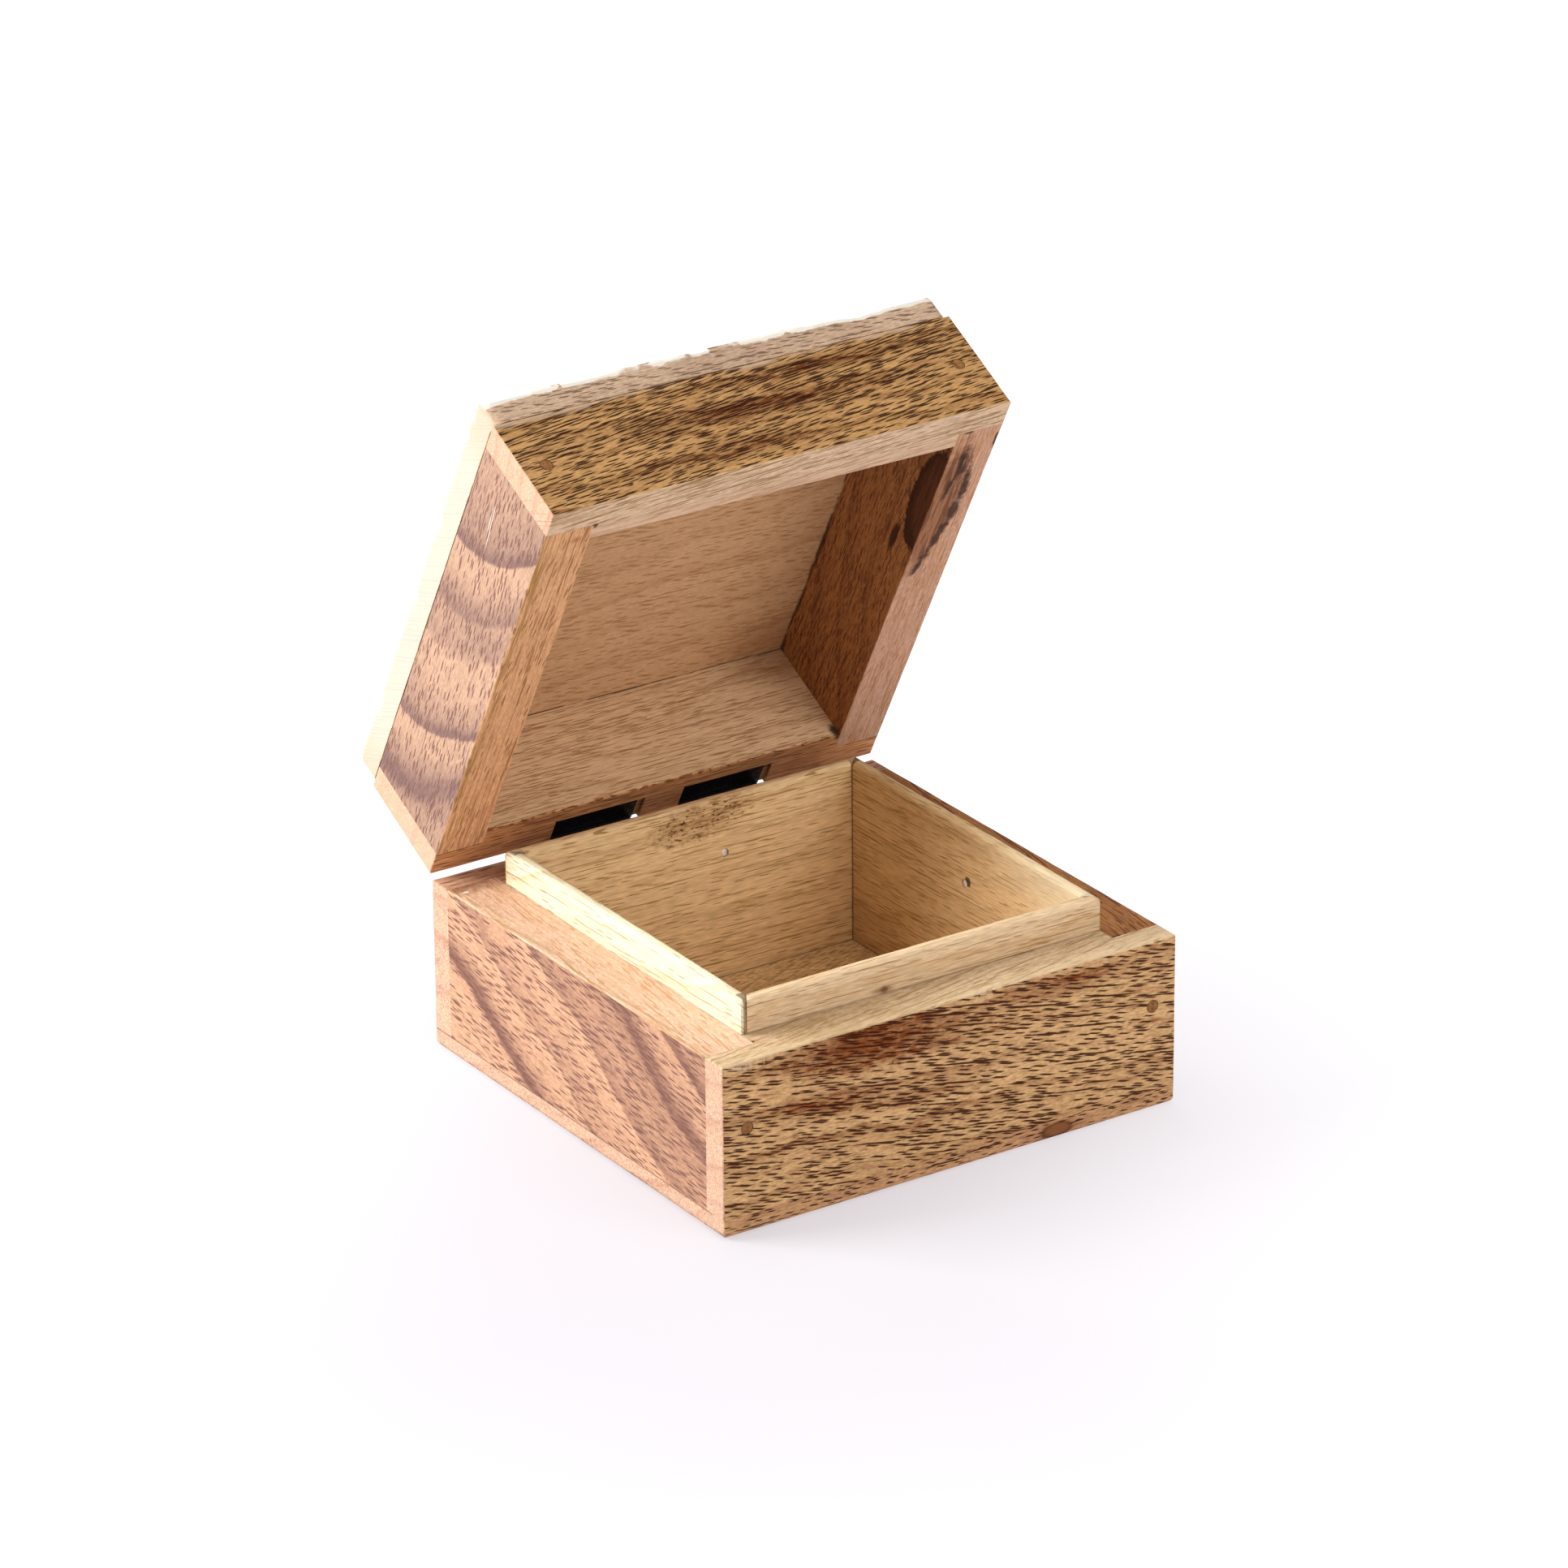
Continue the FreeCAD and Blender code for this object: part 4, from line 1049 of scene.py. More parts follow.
def peg_wood(colours):
    """End grain of the wooden pegs."""
    wood = WoodFinish("peg_wood", colours.peg, colours.front_band, colours.front_pore)
    grain = wood.lay(BACKWARD, UPWARD, (0, 0, 0), (3, 5))
    figure = wood.lay(RIGHTWARD, UPWARD, (0, 0, 0), (1, 1))
    return wood.build(grain, figure, band_width=3.0, band_share=0.5, pore_length=5.0, pore_width=0.5,
                      pore_share=0.15, line_share=0.0)


def metal_finish(name, tone, metallic, roughness, worn=None, wear=0.0):
    """Metal or lacquer with a fine brushed bump and, where it is worn, patches of another colour."""
    material, graph = new_material(name)
    place = graph.millimetres(False)
    base_tone = opaque(tone)
    if worn is not None:
        patch = graph.noise(place, 0.9, 4.0, 0.6)[0]
        base_tone = graph.mix(graph.step(patch, 0.62, 0.72, 0.0, wear), tone, worn)
    brushed = graph.noise(graph.vector("MULTIPLY", place, (0.6, 9.0, 9.0)), 1.0, 2.0)[0]
    rough = graph.step(brushed, 0.2, 0.8, roughness - 0.06, roughness + 0.1)
    normal = graph.node("Bump", {"Strength": 0.12, "Distance": 0.05 * MM, "Height": brushed}).outputs[0]
    graph.surface({"Base Color": base_tone, "Roughness": rough, "Metallic": metallic, "Normal": normal})
    return material


# Boards


def on_arris(around):
    """A test for the outer edges of the base or the lid."""
    def test(point):
        near = 0
        near += abs(abs(point.x) - around.half.x) < TOUCH
        near += abs(abs(point.y - around.middle.y) - around.half.y) < TOUCH
        near += abs(point.z - around.rim) < TOUCH or abs(point.z - around.top) < TOUCH
        return near > 1
    return test


def shaped_board(outline, low, high, sizes, around, seed):
    """A board with rounded arrises and hand-planed faces."""
    bm = bmesh.new()
    prism(bm, outline, low, high)
    soften(bm, sizes.mm("arris_round"), on_arris(around), 3)
    slice_up(bm, sizes.mm("slice_step"))
    waver(bm, sizes, around, seed)
    return bm


def end_outline(wall, left, right, outer, inner, shoulder):
    """Plan of a full-width board with a rabbet at each end for the side boards."""
    return [(wall.low.x, outer), (wall.high.x, outer), (wall.high.x, shoulder), (right.low.x, shoulder),
            (right.low.x, inner), (left.high.x, inner), (left.high.x, shoulder), (wall.low.x, shoulder)]


def peg_holes(tools, sizes, pegs, left, right, outer, way, depth):
    """Adds the two peg holes of an end board to its cutting tools."""
    radius = sizes.mm("peg_radius") + sizes.mm("peg_gap")
    for x in ((left.low.x + left.high.x) / 2, (right.low.x + right.high.x) / 2):
        start = Vector((x, outer + way, pegs.middle.z))
        end = Vector((x, outer - way * depth, pegs.middle.z))
        cylinder(tools, start, end, radius)


def leaf_mortises(tools, sizes, leaves, rim, outer, way):
    """Adds the two hinge mortises of a back board to its cutting tools."""
    depth = sizes.mm("leaf_thickness") + sizes.mm("leaf_recess")
    room = sizes.mm("mortise_room")
    clear = 2.0
    for leaf in leaves:
        low = (leaf.low.x - room, outer - sizes.mm("leaf_depth") - room)
        high = (leaf.high.x + sizes.mm("mortise_spare"), outer + clear)
        levels = sorted((rim + way * depth, rim - way * clear))
        prism(tools, oblong(low, high), levels[0], levels[1])
        axis = PIVOT / MM
        barrel = sizes.mm("barrel_radius") + room
        cylinder(tools, (low[0], axis.y, axis.z), (high[0], axis.y, axis.z), barrel)


def wall_set(sizes, around, prefix, seed):
    """The four boards of the base or the lid as bmeshes, with peg holes and hinge mortises."""
    walls = {side: Block("%s_%s_wall" % (prefix, side)) for side in SIDES}
    pegs = Block("%s_corner_pegs" % prefix)
    left, right = walls["left"], walls["right"]
    hole_depth = 8.0
    shapes = {}
    for side, way in (("front", -1), ("back", 1)):
        wall = walls[side]
        outer, inner = (wall.low.y, wall.high.y) if way < 0 else (wall.high.y, wall.low.y)
        shoulder = left.low.y if way < 0 else left.high.y
        outline = end_outline(wall, left, right, outer, inner, shoulder)
        shape = shaped_board(outline, wall.low.z, wall.high.z, sizes, around, seed)
        tools = bmesh.new()
        peg_holes(tools, sizes, pegs, left, right, outer, way, hole_depth)
        if side == "back":
            leaves = [Block("hinge_%s_%s_leaf" % (hand, prefix)) for hand in ("left", "right")]
            leaf_mortises(tools, sizes, leaves, around.rim, outer, -1 if prefix == "base" else 1)
        shapes[side] = carve(shape, tools)
    for side in ("left", "right"):
        wall = walls[side]
        shapes[side] = shaped_board(oblong(wall.low, wall.high), wall.low.z, wall.high.z, sizes, around, seed)
    return shapes


def finished_walls(shapes, woods, prefix):
    """Makes the four walls of the base or the lid from their shapes and woods."""
    for side, shape in shapes.items():
        node = "%s_%s_wall" % (prefix, side)
        finished_piece("%s_%s_board" % (prefix, side), shape, woods[side], prefix, [node])


class WOODENBOX_OT_base_walls(bpy.types.Operator):
    """Makes the four walls of the base"""
    bl_idname = "wooden_box.base_walls"
    bl_label = "Base walls"

    def execute(self, context):
        sizes, colours = context.scene.box_sizes, context.scene.box_colours
        around = Surroundings(False)
        shapes = wall_set(sizes, around, "base", 11.0)
        woods = {"front": base_front_wood(colours, around), "back": base_back_wood(colours, around),
                 "left": base_side_wood(colours, around, "base_left_wood", True),
                 "right": base_side_wood(colours, around, "base_right_wood", False)}
        finished_walls(shapes, woods, "base")
        return {"FINISHED"}


class WOODENBOX_OT_base_bottom(bpy.types.Operator):
    """Makes the bottom panel under the walls"""
    bl_idname = "wooden_box.base_bottom"
    bl_label = "Bottom panel"

    def execute(self, context):
        sizes, colours = context.scene.box_sizes, context.scene.box_colours
        around = Surroundings(False)
        bottom = Block("base_bottom_panel")
        bm = bmesh.new()
        prism(bm, oblong(bottom.low, bottom.high), bottom.low.z, bottom.high.z)
        soften(bm, sizes.mm("bottom_round"), lambda point: abs(point.z - bottom.low.z) < TOUCH, 4)
        upright = around.half.x - TOUCH
        depth_short = 0.5
        soften(bm, sizes.mm("arris_round"),
               lambda point: abs(point.x) > upright and abs(point.y) > upright - depth_short
               and point.z > sizes.mm("bottom_round"), 2)
        slice_up(bm, sizes.mm("slice_step"))
        waver(bm, sizes, around, 11.0)
        wood = base_bottom_wood(colours)
        finished_piece("bottom_board", bm, wood, "base", ["base_bottom_panel"])
        return {"FINISHED"}


class WOODENBOX_OT_tray(bpy.types.Operator):
    """Makes the four mitred tray boards that stand above the rim"""
    bl_idname = "wooden_box.tray"
    bl_label = "Tray boards"

    def execute(self, context):
        sizes, colours = context.scene.box_sizes, context.scene.box_colours
        boards = {side: Block("liner_%s_board" % side) for side in SIDES}
        x, y = boards["front"].high.x, boards["back"].high.y
        inner_x, inner_y = boards["right"].low.x, boards["back"].low.y
        flat, gap = sizes.mm("mitre_flat"), sizes.mm("mitre_gap")
        outlines = {
            "front": [(-x + flat + gap, -y), (x, -y), (inner_x, -inner_y), (-inner_x + gap / 2, -inner_y)],
            "right": [(x, -y), (x, y), (inner_x, inner_y), (inner_x, -inner_y)],
            "back": [(x, y), (-x, y), (-inner_x, inner_y), (inner_x, inner_y)],
            "left": [(-x, y), (-x, -y), (-x + flat, -y), (-inner_x, -inner_y), (-inner_x, inner_y)]}
        seeds = {"front": 5, "right": 17, "back": 29, "left": 41}
        slice_step = 2.0
        shake_span, shake_reach = 1.7, 0.07
        sway_span, sway_reach = 26.0, 0.12
        seat_room = 0.1
        for order, (side, outline) in enumerate(outlines.items()):
            board = boards[side]
            bm = bmesh.new()
            prism(bm, outline, board.low.z, board.high.z)
            top = board.high.z
            soften(bm, sizes.mm("lip_round"), lambda point: abs(point.z - top) < TOUCH and (
                abs(abs(point.x) - x) < TOUCH or abs(abs(point.y) - y) < TOUCH
                or abs(abs(point.x) - inner_x) < 0.3 or abs(abs(point.y) - inner_y) < TOUCH), 4)
            slice_up(bm, slice_step)
            for vert in bm.verts:
                shake = noise.noise_vector(vert.co / shake_span + Vector((0, 0, order * 9))) * shake_reach
                sway = noise.noise_vector(vert.co / sway_span + Vector((0, 0, order * 5))) * sway_reach
                vert.co += shake + sway
            tools = bmesh.new()
            seat, outward = brad_seats(boards)[side]
            depth = sizes.mm("brad_set") + sizes.mm("brad_head")
            seat, outward = Vector(seat), Vector(outward)
            cylinder(tools, seat + outward, seat - outward * depth, sizes.mm("brad_radius") + seat_room)
            bm = carve(bm, tools)
            wood = tray_wood(colours, side, seeds[side])
            finished_piece("tray_%s" % side, bm, wood, "base", ["liner_%s_board" % side])
        return {"FINISHED"}


def brad_seats(boards):
    """Where the tray's brads are driven, and which way their heads face."""
    level = Block("liner_brads").middle.z
    offset = 9.7
    return {"front": ((-offset, boards["front"].high.y, level), (0, 1, 0)),
            "back": ((offset, boards["back"].low.y, level), (0, -1, 0)),
            "left": ((boards["left"].high.x, 0, level), (1, 0, 0)),
            "right": ((boards["right"].low.x, 0, level), (-1, 0, 0))}


class WOODENBOX_OT_lid_walls(bpy.types.Operator):
    """Makes the four walls of the lid"""
    bl_idname = "wooden_box.lid_walls"
    bl_label = "Lid walls"

    def execute(self, context):
        sizes, colours = context.scene.box_sizes, context.scene.box_colours
        around = Surroundings(True)
        shapes = wall_set(sizes, around, "lid", 53.0)
        woods = {"front": lid_front_wood(colours, around), "back": lid_back_wood(colours, around),
                 "left": lid_left_wood(colours, around), "right": lid_right_wood(colours, around)}
        finished_walls(shapes, woods, "lid")
        return {"FINISHED"}


# Heights broken off along the carved panel's front edge, from left to right: place and drop
FRONT_EDGE = ((-62, 1.6), (-49, 1.3), (-48, 0.1), (-41, 0.0), (-40, 1.1), (-29, 1.1), (-27, 0.6), (-20, 0.7),
              (-19, 0.0), (-14, 0.1), (-13, 0.8), (-6, 0.7), (-4, 1.4), (-1, 1.3), (0, 0.1), (12, 0.2),
              (24, 0.0), (26, 0.8), (34, 1.3), (38, 2.1), (46, 2.1), (49, 1.6), (56, 1.6), (62, 1.4))


class Carving:
    """Depth of the lid's carving at a place on its top, in millimetres."""

    def __init__(self, sizes, panel):
        self.half_x = panel.high.x
        self.half_y = (panel.high.y - panel.low.y) / 2
        for name in ("carving_depth", "border_width", "flute_radius", "flute_pitch", "flute_margin",
                     "rosette_radius", "petal_width", "bud_radius", "ring_width", "fan_radius",
                     "fan_petal_width", "top_round", "top_corner"):
            setattr(self, name, sizes.mm(name))
        self.rosette_petals = sizes.rosette_petals
        self.fan_petals = sizes.fan_petals

    def scoop(self, along, across, near, far, width):
        """A pointed oval gouge cut with a fine rib left along its middle."""
        half = (far - near) / 2
        bulge = (half * half + width * width / 4) / width
        place = along - (near + far) / 2
        if abs(place) >= half:
            return 0.0
        side = math.sqrt(bulge * bulge - place * place) - bulge + width / 2
        if abs(across) >= side:
            return 0.0
        share = across / side
        rib = 0.3 * math.exp(-(across / 0.45) ** 2)
        return self.carving_depth * (1 - share * share) ** 0.7 * (1 - rib)

    def flute(self, along, edge, run_half):
        """Gouge flutes across the border, stopped short of the edge."""
        if edge > self.border_width or abs(along) > run_half - self.border_width:
            return 0.0
        count = int((2 * run_half - 2 * self.border_width) / self.flute_pitch)
        index = round(along / self.flute_pitch + (count - 1) / 2)
        if index < 0 or index >= count:
            return 0.0
        across = along - (index - (count - 1) / 2) * self.flute_pitch
        past = max(0.0, edge - self.border_width + self.flute_radius,
                   self.flute_margin + self.flute_radius - edge)
        room = self.flute_radius ** 2 - across * across - past * past
        skill = 0.75 + 0.4 * noise.noise(Vector((index * 1.37, run_half, edge * 0.05)))
        return skill * math.sqrt(room) if room > 0 else 0.0

    def inside(self, x, y):
        """A point of the square grid moved into the rounded corners, and its distance from the edge."""
        past_x = abs(x) - self.half_x + self.top_corner
        past_y = abs(y) - self.half_y + self.top_corner
        if past_x <= 0 or past_y <= 0:
            return x, y, min(self.half_x - abs(x), self.half_y - abs(y))
        share_x = past_x / self.top_corner
        share_y = past_y / self.top_corner
        moved_x = past_x * math.sqrt(1 - share_y * share_y / 2)
        moved_y = past_y * math.sqrt(1 - share_x * share_x / 2)
        edge = self.top_corner - math.hypot(moved_x, moved_y)
        inner_x = math.copysign(abs(x) - past_x + moved_x, x)
        inner_y = math.copysign(abs(y) - past_y + moved_y, y)
        return inner_x, inner_y, edge

    def broken_edge(self, x, y, edge):
        """Chips that have split off along the carved panel's edges."""
        reach = 3.0
        if edge > reach:
            return 0.0
        swell = noise.noise(Vector((x, y, 9.0)) / 9.0) + 0.5 * noise.noise(Vector((x, y, 2.0)) / 2.6)
        fall = max(0.0, min(1.0, (swell - 0.2) * 6.0))
        if y < -abs(x) and self.half_y + y < reach:
            places = [place for place, drop in FRONT_EDGE]
            number = max(1, min(len(places) - 1, sum(place < x for place in places)))
            (low, before), (high, after) = FRONT_EDGE[number - 1:number + 1]
            share = max(0.0, min(1.0, (x - low) / (high - low)))
            fall = (before + (after - before) * share) / 1.5 + 0.25 * swell
        return 1.5 * max(0.0, fall) * math.sqrt(1 - edge / reach)

    def groove(self, distance, width, depth):
        """A round-bottomed groove."""
        share = 2 * distance / width
        return depth * math.sqrt(1 - share * share) if abs(share) < 1 else 0.0

    def depth(self, x, y):
        """How far the carving lies below the panel's top."""
        drift = noise.noise_vector(Vector((x, y, 3.0)) / 14.0) * 0.35
        x += drift.x
        y += drift.y
        edge_x = self.half_x - abs(x)
        edge_y = self.half_y - abs(y)
        edge = min(edge_x, edge_y)
        cut = self.flute(x, edge_y, self.half_x) if edge_y < edge_x else self.flute(y, edge_x, self.half_y)
        corner_x = self.half_x - self.border_width - abs(x)
        corner_y = self.half_y - self.border_width - abs(y)
        if corner_x < 0 and corner_y < 0:
            middle_x = -corner_x - self.border_width / 2
            middle_y = -corner_y - self.border_width / 2
            for turn in range(4):
                angle = math.pi / 4 + turn * math.pi / 2
                along = middle_x * math.cos(angle) + middle_y * math.sin(angle)
                across = middle_y * math.cos(angle) - middle_x * math.sin(angle)
                cut = max(cut, self.scoop(along, across, 0.8, 5.6, 3.0))
        cut = max(cut, self.groove(edge - self.border_width - 1.2, 1.4, 0.9))
        radius = math.hypot(x, y)
        cut = max(cut, self.rosette(x, y, radius))
        if corner_x > 0 and corner_y > 0:
            cut = max(cut, self.fan(corner_x, corner_y))
        cut = max(cut, self.side_leaves(x, y), self.side_leaves(y, x))
        return cut

    def rosette(self, x, y, radius):
        """Petals about a bud, in a ring with beads round it."""
        if radius > self.rosette_radius + 9:
            return 0.0
        step = math.tau / self.rosette_petals
        turn = math.atan2(y, x)
        fold = turn - round(turn / step) * step
        cut = self.scoop(radius * math.cos(fold), radius * math.sin(fold), self.bud_radius + 0.8,
                         self.rosette_radius, self.petal_width)
        between = turn + step / 2
        fold = between - round(between / step) * step
        leaf_near, leaf_far, leaf_width = 22.0, 31.0, 4.2
        leaf = self.scoop(radius * math.cos(fold), radius * math.sin(fold), leaf_near, leaf_far, leaf_width)
        cut = max(cut, leaf)
        cut = max(cut, self.groove(radius - self.bud_radius, 1.5, 1.1))
        if radius < self.bud_radius:
            cut = max(cut, 0.8 * (radius / self.bud_radius) ** 2)
            seed_step = math.tau / 6
            fold = turn - round(turn / seed_step) * seed_step
            seed = min(radius, math.hypot(radius * math.cos(fold) - 3.3, radius * math.sin(fold)))
            cut = max(cut, self.groove(seed, 2.2, 0.8))
        ring = self.rosette_radius + 1.5 * self.ring_width
        cut = max(cut, self.groove(radius - ring, self.ring_width, self.carving_depth))
        bead_radius = ring + 3.2
        bead_step = math.tau / 48
        fold = turn - round(turn / bead_step) * bead_step
        bead = math.hypot(radius * math.cos(fold) - bead_radius, radius * math.sin(fold))
        return max(cut, self.groove(bead, 3.0, 0.9))

    def fan(self, corner_x, corner_y):
        """Petals that spread inwards from a corner of the border."""
        cut = 0.0
        for index in range(self.fan_petals):
            angle = index / (self.fan_petals - 1) * math.pi / 2
            along = corner_x * math.cos(angle) + corner_y * math.sin(angle)
            across = corner_y * math.cos(angle) - corner_x * math.sin(angle)
            petal = self.scoop(along, across, self.fan_petal_width, self.fan_radius, self.fan_petal_width)
            cut = max(cut, petal)
        return cut

    def side_leaves(self, x, y):
        """Three leaves in the middle of a side, pointing outwards."""
        cut = 0.0
        rise = abs(y) - 37.0
        for angle in (-0.75, 0.0, 0.75):
            along = rise * math.cos(angle) + x * math.sin(angle)
            across = x * math.cos(angle) - rise * math.sin(angle)
            cut = max(cut, self.scoop(along, across, 2.5, 12.0, 3.6))
        return cut


class WOODENBOX_OT_lid_top(bpy.types.Operator):
    """Makes the carved top panel of the lid"""
    bl_idname = "wooden_box.lid_top"
    bl_label = "Carved top panel"

    def execute(self, context):
        sizes, colours = context.scene.box_sizes, context.scene.box_colours
        panel = Block("lid_top_panel")
        carving = Carving(sizes, panel)
        bm = bmesh.new()
        cut_layer = bm.verts.layers.float.new("carved_depth")
        cells = sizes.carving_cells
        bmesh.ops.create_grid(bm, x_segments=cells, y_segments=cells, size=1.0)
        bmesh.ops.scale(bm, vec=(carving.half_x, carving.half_y, 1), verts=bm.verts[:])
        round_off = carving.top_round
        for vert in bm.verts:
            x, y, edge = carving.inside(vert.co.x, vert.co.y)
            edge = max(0.0, edge)
            vert.co.x = x
            vert.co.y = y
            cut = max(carving.depth(x, y), carving.broken_edge(x, y, edge))
            short = max(0.0, round_off - edge)
            rounded = round_off - math.sqrt(round_off * round_off - short * short)
            tool_marks = 0.07 * noise.noise(Vector((x, y, 0)) / 2.2)
            tool_marks += 0.05 * noise.noise(Vector((x, y, 5)) / 0.9)
            vert[cut_layer] = cut
            vert.co.z = panel.high.z - max(0.0, max(cut, rounded) + tool_marks)
        rim = [edge for edge in bm.edges if edge.is_boundary]
        levels = 4
        for level in range(levels):
            made = bmesh.ops.extrude_edge_only(bm, edges=rim)["geom"]
            rim = [part for part in made if isinstance(part, bmesh.types.BMEdge) and part.is_boundary]
            lowered = [part for part in made if isinstance(part, bmesh.types.BMVert)]
            share = 1 / (levels - level)
            for vert in lowered:
                vert.co.z += (panel.low.z - vert.co.z) * share
                vert[cut_layer] = 0.0
        bmesh.ops.holes_fill(bm, edges=rim, sides=0)
        bmesh.ops.translate(bm, verts=bm.verts[:], vec=(0, panel.middle.y, 0))
        bmesh.ops.recalc_face_normals(bm, faces=bm.faces[:])
        for face in bm.faces:
            face.smooth = len(face.verts) == 4 and face.normal.z > 0.2
        wood = lid_top_wood(colours)
        finished_piece("carved_top", bm, wood, "lid", ["lid_top_panel"])
        return {"FINISHED"}


# Fastenings


def peg_shape(sizes, prefix):
    """The four corner pegs of the base or the lid, slightly domed and sunk below the faces."""
    walls = {side: Block("%s_%s_wall" % (prefix, side)) for side in SIDES}
    level = Block("%s_corner_pegs" % prefix).middle.z
    radius = sizes.mm("peg_radius")
    sink = sizes.mm("peg_sink")
    reach = 7.5
    profile = [(0, -sink), (radius * 0.6, -sink - 0.02), (radius * 0.92, -sink - 0.06),
               (radius, -sink - 0.16), (radius, -reach), (0, -reach)]
    bm = bmesh.new()
    for outer, way in ((walls["front"].low.y, -1), (walls["back"].high.y, 1)):
        for wall in (walls["left"], walls["right"]):
            turned(bm, profile, (wall.middle.x, outer, level), (0, way, 0))
    return bm


class WOODENBOX_OT_pegs(bpy.types.Operator):
    """Makes the wooden pegs of the base and the lid"""
    bl_idname = "wooden_box.pegs"
    bl_label = "Corner pegs"

    def execute(self, context):
        sizes, colours = context.scene.box_sizes, context.scene.box_colours
        material = peg_wood(colours)
        for prefix in ("base", "lid"):
            node = "%s_corner_pegs" % prefix
            finished_piece("%s_pegs" % prefix, peg_shape(sizes, prefix), material, prefix, [node])
        return {"FINISHED"}


class WOODENBOX_OT_brads(bpy.types.Operator):
    """Makes the brads of the tray and the bottom panel"""
    bl_idname = "wooden_box.brads"
    bl_label = "Brads"

    def execute(self, context):
        sizes, colours = context.scene.box_sizes, context.scene.box_colours
        material = metal_finish("brad_steel", colours.brad, 0.15, 0.35, colours.red_band, 0.5)
        radius = sizes.mm("brad_radius")
        sink = sizes.mm("brad_set")
        neck = sink + sizes.mm("brad_head")
        shank = 0.6
        profile = [(0, -sink), (radius * 0.5, -sink - 0.03), (radius * 0.9, -sink - 0.12),
                   (radius, -sink - 0.28), (radius, -neck), (shank, -neck), (shank, -neck - 5.0),
                   (0, -neck - 6.0)]
        boards = {side: Block("liner_%s_board" % side) for side in SIDES}
        bm = bmesh.new()
        for seat, outward in brad_seats(boards).values():
            turned(bm, profile, seat, outward, 20)
        finished_piece("tray_brads", bm, material, "base", ["liner_brads"])
        mesh = frame["nodes"]["bottom_brads"].data
        mesh.materials.clear()
        mesh.materials.append(material)
        return {"FINISHED"}


class WOODENBOX_OT_hinges(bpy.types.Operator):
    """Finishes the hinge leaves, pins and screws"""
    bl_idname = "wooden_box.hinges"
    bl_label = "Hinges"

    def execute(self, context):
        colours = context.scene.box_colours
        material = metal_finish("hinge_black", colours.hinge, 0.0, 0.22)
        for name, node in frame["nodes"].items():
            if name.startswith("hinge_") or name.endswith("leaf_screws"):
                node.data.materials.clear()
                node.data.materials.append(material)
        return {"FINISHED"}


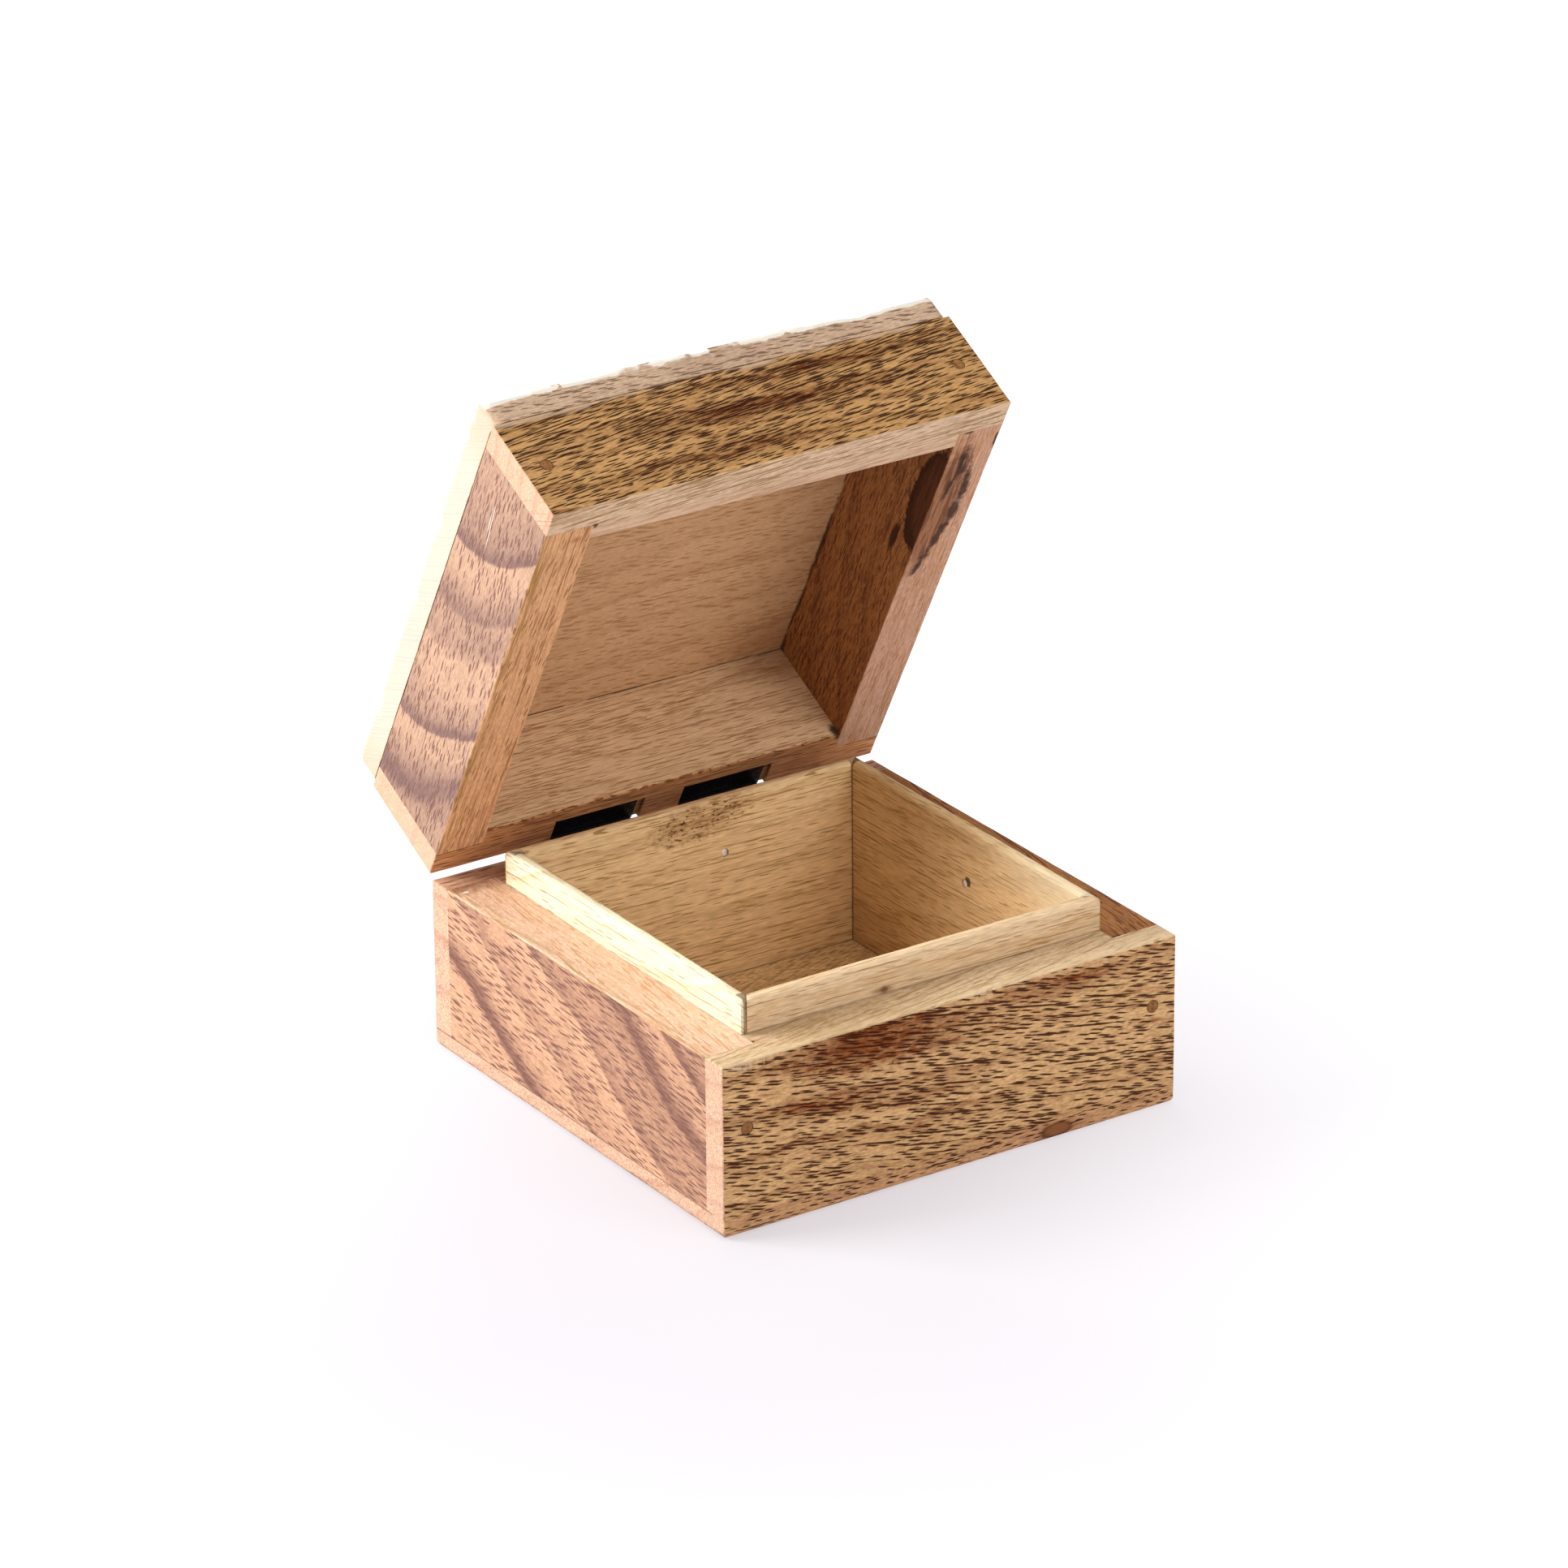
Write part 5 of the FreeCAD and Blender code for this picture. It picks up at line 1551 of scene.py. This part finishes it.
class WOODENBOX_OT_stage(bpy.types.Operator):
    """Makes the floor with its painted glow and painted shadow, the studio light and the camera"""
    bl_idname = "wooden_box.stage"
    bl_label = "Stage"

    def execute(self, context):
        settings, colours = context.scene.box_stage, context.scene.box_colours
        scene = context.scene
        bm = bmesh.new()
        bmesh.ops.create_grid(bm, x_segments=1, y_segments=1, size=settings.floor_width / 2)
        mesh = bpy.data.meshes.new("floor")
        bm.to_mesh(mesh)
        bm.free()
        floor = bpy.data.objects.new("floor", mesh)
        scene.collection.objects.link(floor)
        material, graph = new_material("floor_paper")
        place = graph.millimetres(False)
        fleck = graph.step(graph.noise(place, 0.004, 2.0)[0], 0.3, 0.7)
        tone = graph.mix(fleck, colours.floor, colours.floor_pale)
        # The floor glows as painted light, dimmest about this middle by the box's front left as a painted shadow
        painted_shadow_middle = (-70.0, -80.0, 0.0)
        shade = graph.vector("SUBTRACT", place, painted_shadow_middle)
        distance = graph.node("VectorMath", {0: shade}, operation="LENGTH").outputs["Value"]
        glow = graph.mix(graph.step(distance, 30.0, 260.0), colours.floor_painted_shadow_glow, colours.floor_painted_glow_far)
        graph.surface({"Base Color": tone, "Roughness": 0.9, "Specular IOR Level": 0.1,
                       "Emission Color": glow, "Emission Strength": 1.0})
        mesh.materials.append(material)

        world = bpy.data.worlds.new("studio")
        world.use_nodes = True
        scene.world = world
        backdrop = world.node_tree.nodes["Background"]
        backdrop.inputs["Color"].default_value = (1.0, 1.0, 1.0, 1.0)
        backdrop.inputs["Strength"].default_value = settings.ambient

        lit_point = Vector((0, 0.01, 0.05))
        for name in ("key", "top", "fill"):
            lamp = bpy.data.lights.new(name, "AREA")
            lamp.energy = getattr(settings, name + "_power")
            lamp.size = getattr(settings, name + "_width")
            light = bpy.data.objects.new(name, lamp)
            light.location = getattr(settings, name + "_place")
            light.rotation_mode = "QUATERNION"
            light.rotation_quaternion = (lit_point - light.location).to_track_quat("-Z", "Y")
            scene.collection.objects.link(light)
        scene.view_settings.view_transform = "Standard"
        scene.view_settings.look = "None"

        camera = bpy.data.objects.new("camera", bpy.data.cameras.new("camera"))
        camera.data.sensor_width = 36.0
        camera.data.lens = settings.lens
        camera.data.clip_start = 0.01
        camera.data.clip_end = 50.0
        level = math.cos(settings.elevation)
        back = Vector((math.sin(settings.azimuth) * level, -math.cos(settings.azimuth) * level,
                       math.sin(settings.elevation)))
        camera.location = Vector(settings.aim) + back * settings.distance
        camera.rotation_mode = "QUATERNION"
        camera.rotation_quaternion = (-back).to_track_quat("-Z", "Y") @ Quaternion((0, 0, 1), -settings.roll)
        scene.collection.objects.link(camera)
        scene.camera = camera
        return {"FINISHED"}


OPERATORS = (WOODENBOX_OT_base_walls, WOODENBOX_OT_base_bottom, WOODENBOX_OT_tray, WOODENBOX_OT_lid_walls,
             WOODENBOX_OT_lid_top, WOODENBOX_OT_pegs, WOODENBOX_OT_brads, WOODENBOX_OT_hinges,
             WOODENBOX_OT_stage)


class WOODENBOX_PT_pieces(bpy.types.Panel):
    """Lists the steps that make the box"""
    bl_idname = "WOODENBOX_PT_pieces"
    bl_label = "Wooden box"
    bl_space_type = "VIEW_3D"
    bl_region_type = "UI"
    bl_category = "Wooden box"

    def draw(self, context):
        for operator in OPERATORS:
            self.layout.operator(operator.bl_idname)


CLASSES = (BoxSizes, BoxColours, StageSettings) + OPERATORS + (WOODENBOX_PT_pieces,)


def register():
    """Registers the settings, steps and panel, and seeds the noise so that every run is the same."""
    noise.seed_set(NOISE_SEED)
    for made in CLASSES:
        bpy.utils.register_class(made)
    bpy.types.Scene.box_sizes = PointerProperty(type=BoxSizes)
    bpy.types.Scene.box_colours = PointerProperty(type=BoxColours)
    bpy.types.Scene.box_stage = PointerProperty(type=StageSettings)


def unregister():
    """Removes what register added."""
    del bpy.types.Scene.box_stage
    del bpy.types.Scene.box_colours
    del bpy.types.Scene.box_sizes
    for made in reversed(CLASSES):
        bpy.utils.unregister_class(made)


def main():
    """Makes every piece and the stage."""
    register()
    bpy.ops.wooden_box.base_walls()
    bpy.ops.wooden_box.base_bottom()
    bpy.ops.wooden_box.tray()
    bpy.ops.wooden_box.lid_walls()
    bpy.ops.wooden_box.lid_top()
    bpy.ops.wooden_box.pegs()
    bpy.ops.wooden_box.brads()
    bpy.ops.wooden_box.hinges()
    bpy.ops.wooden_box.stage()


if __name__ == "__main__":
    main()
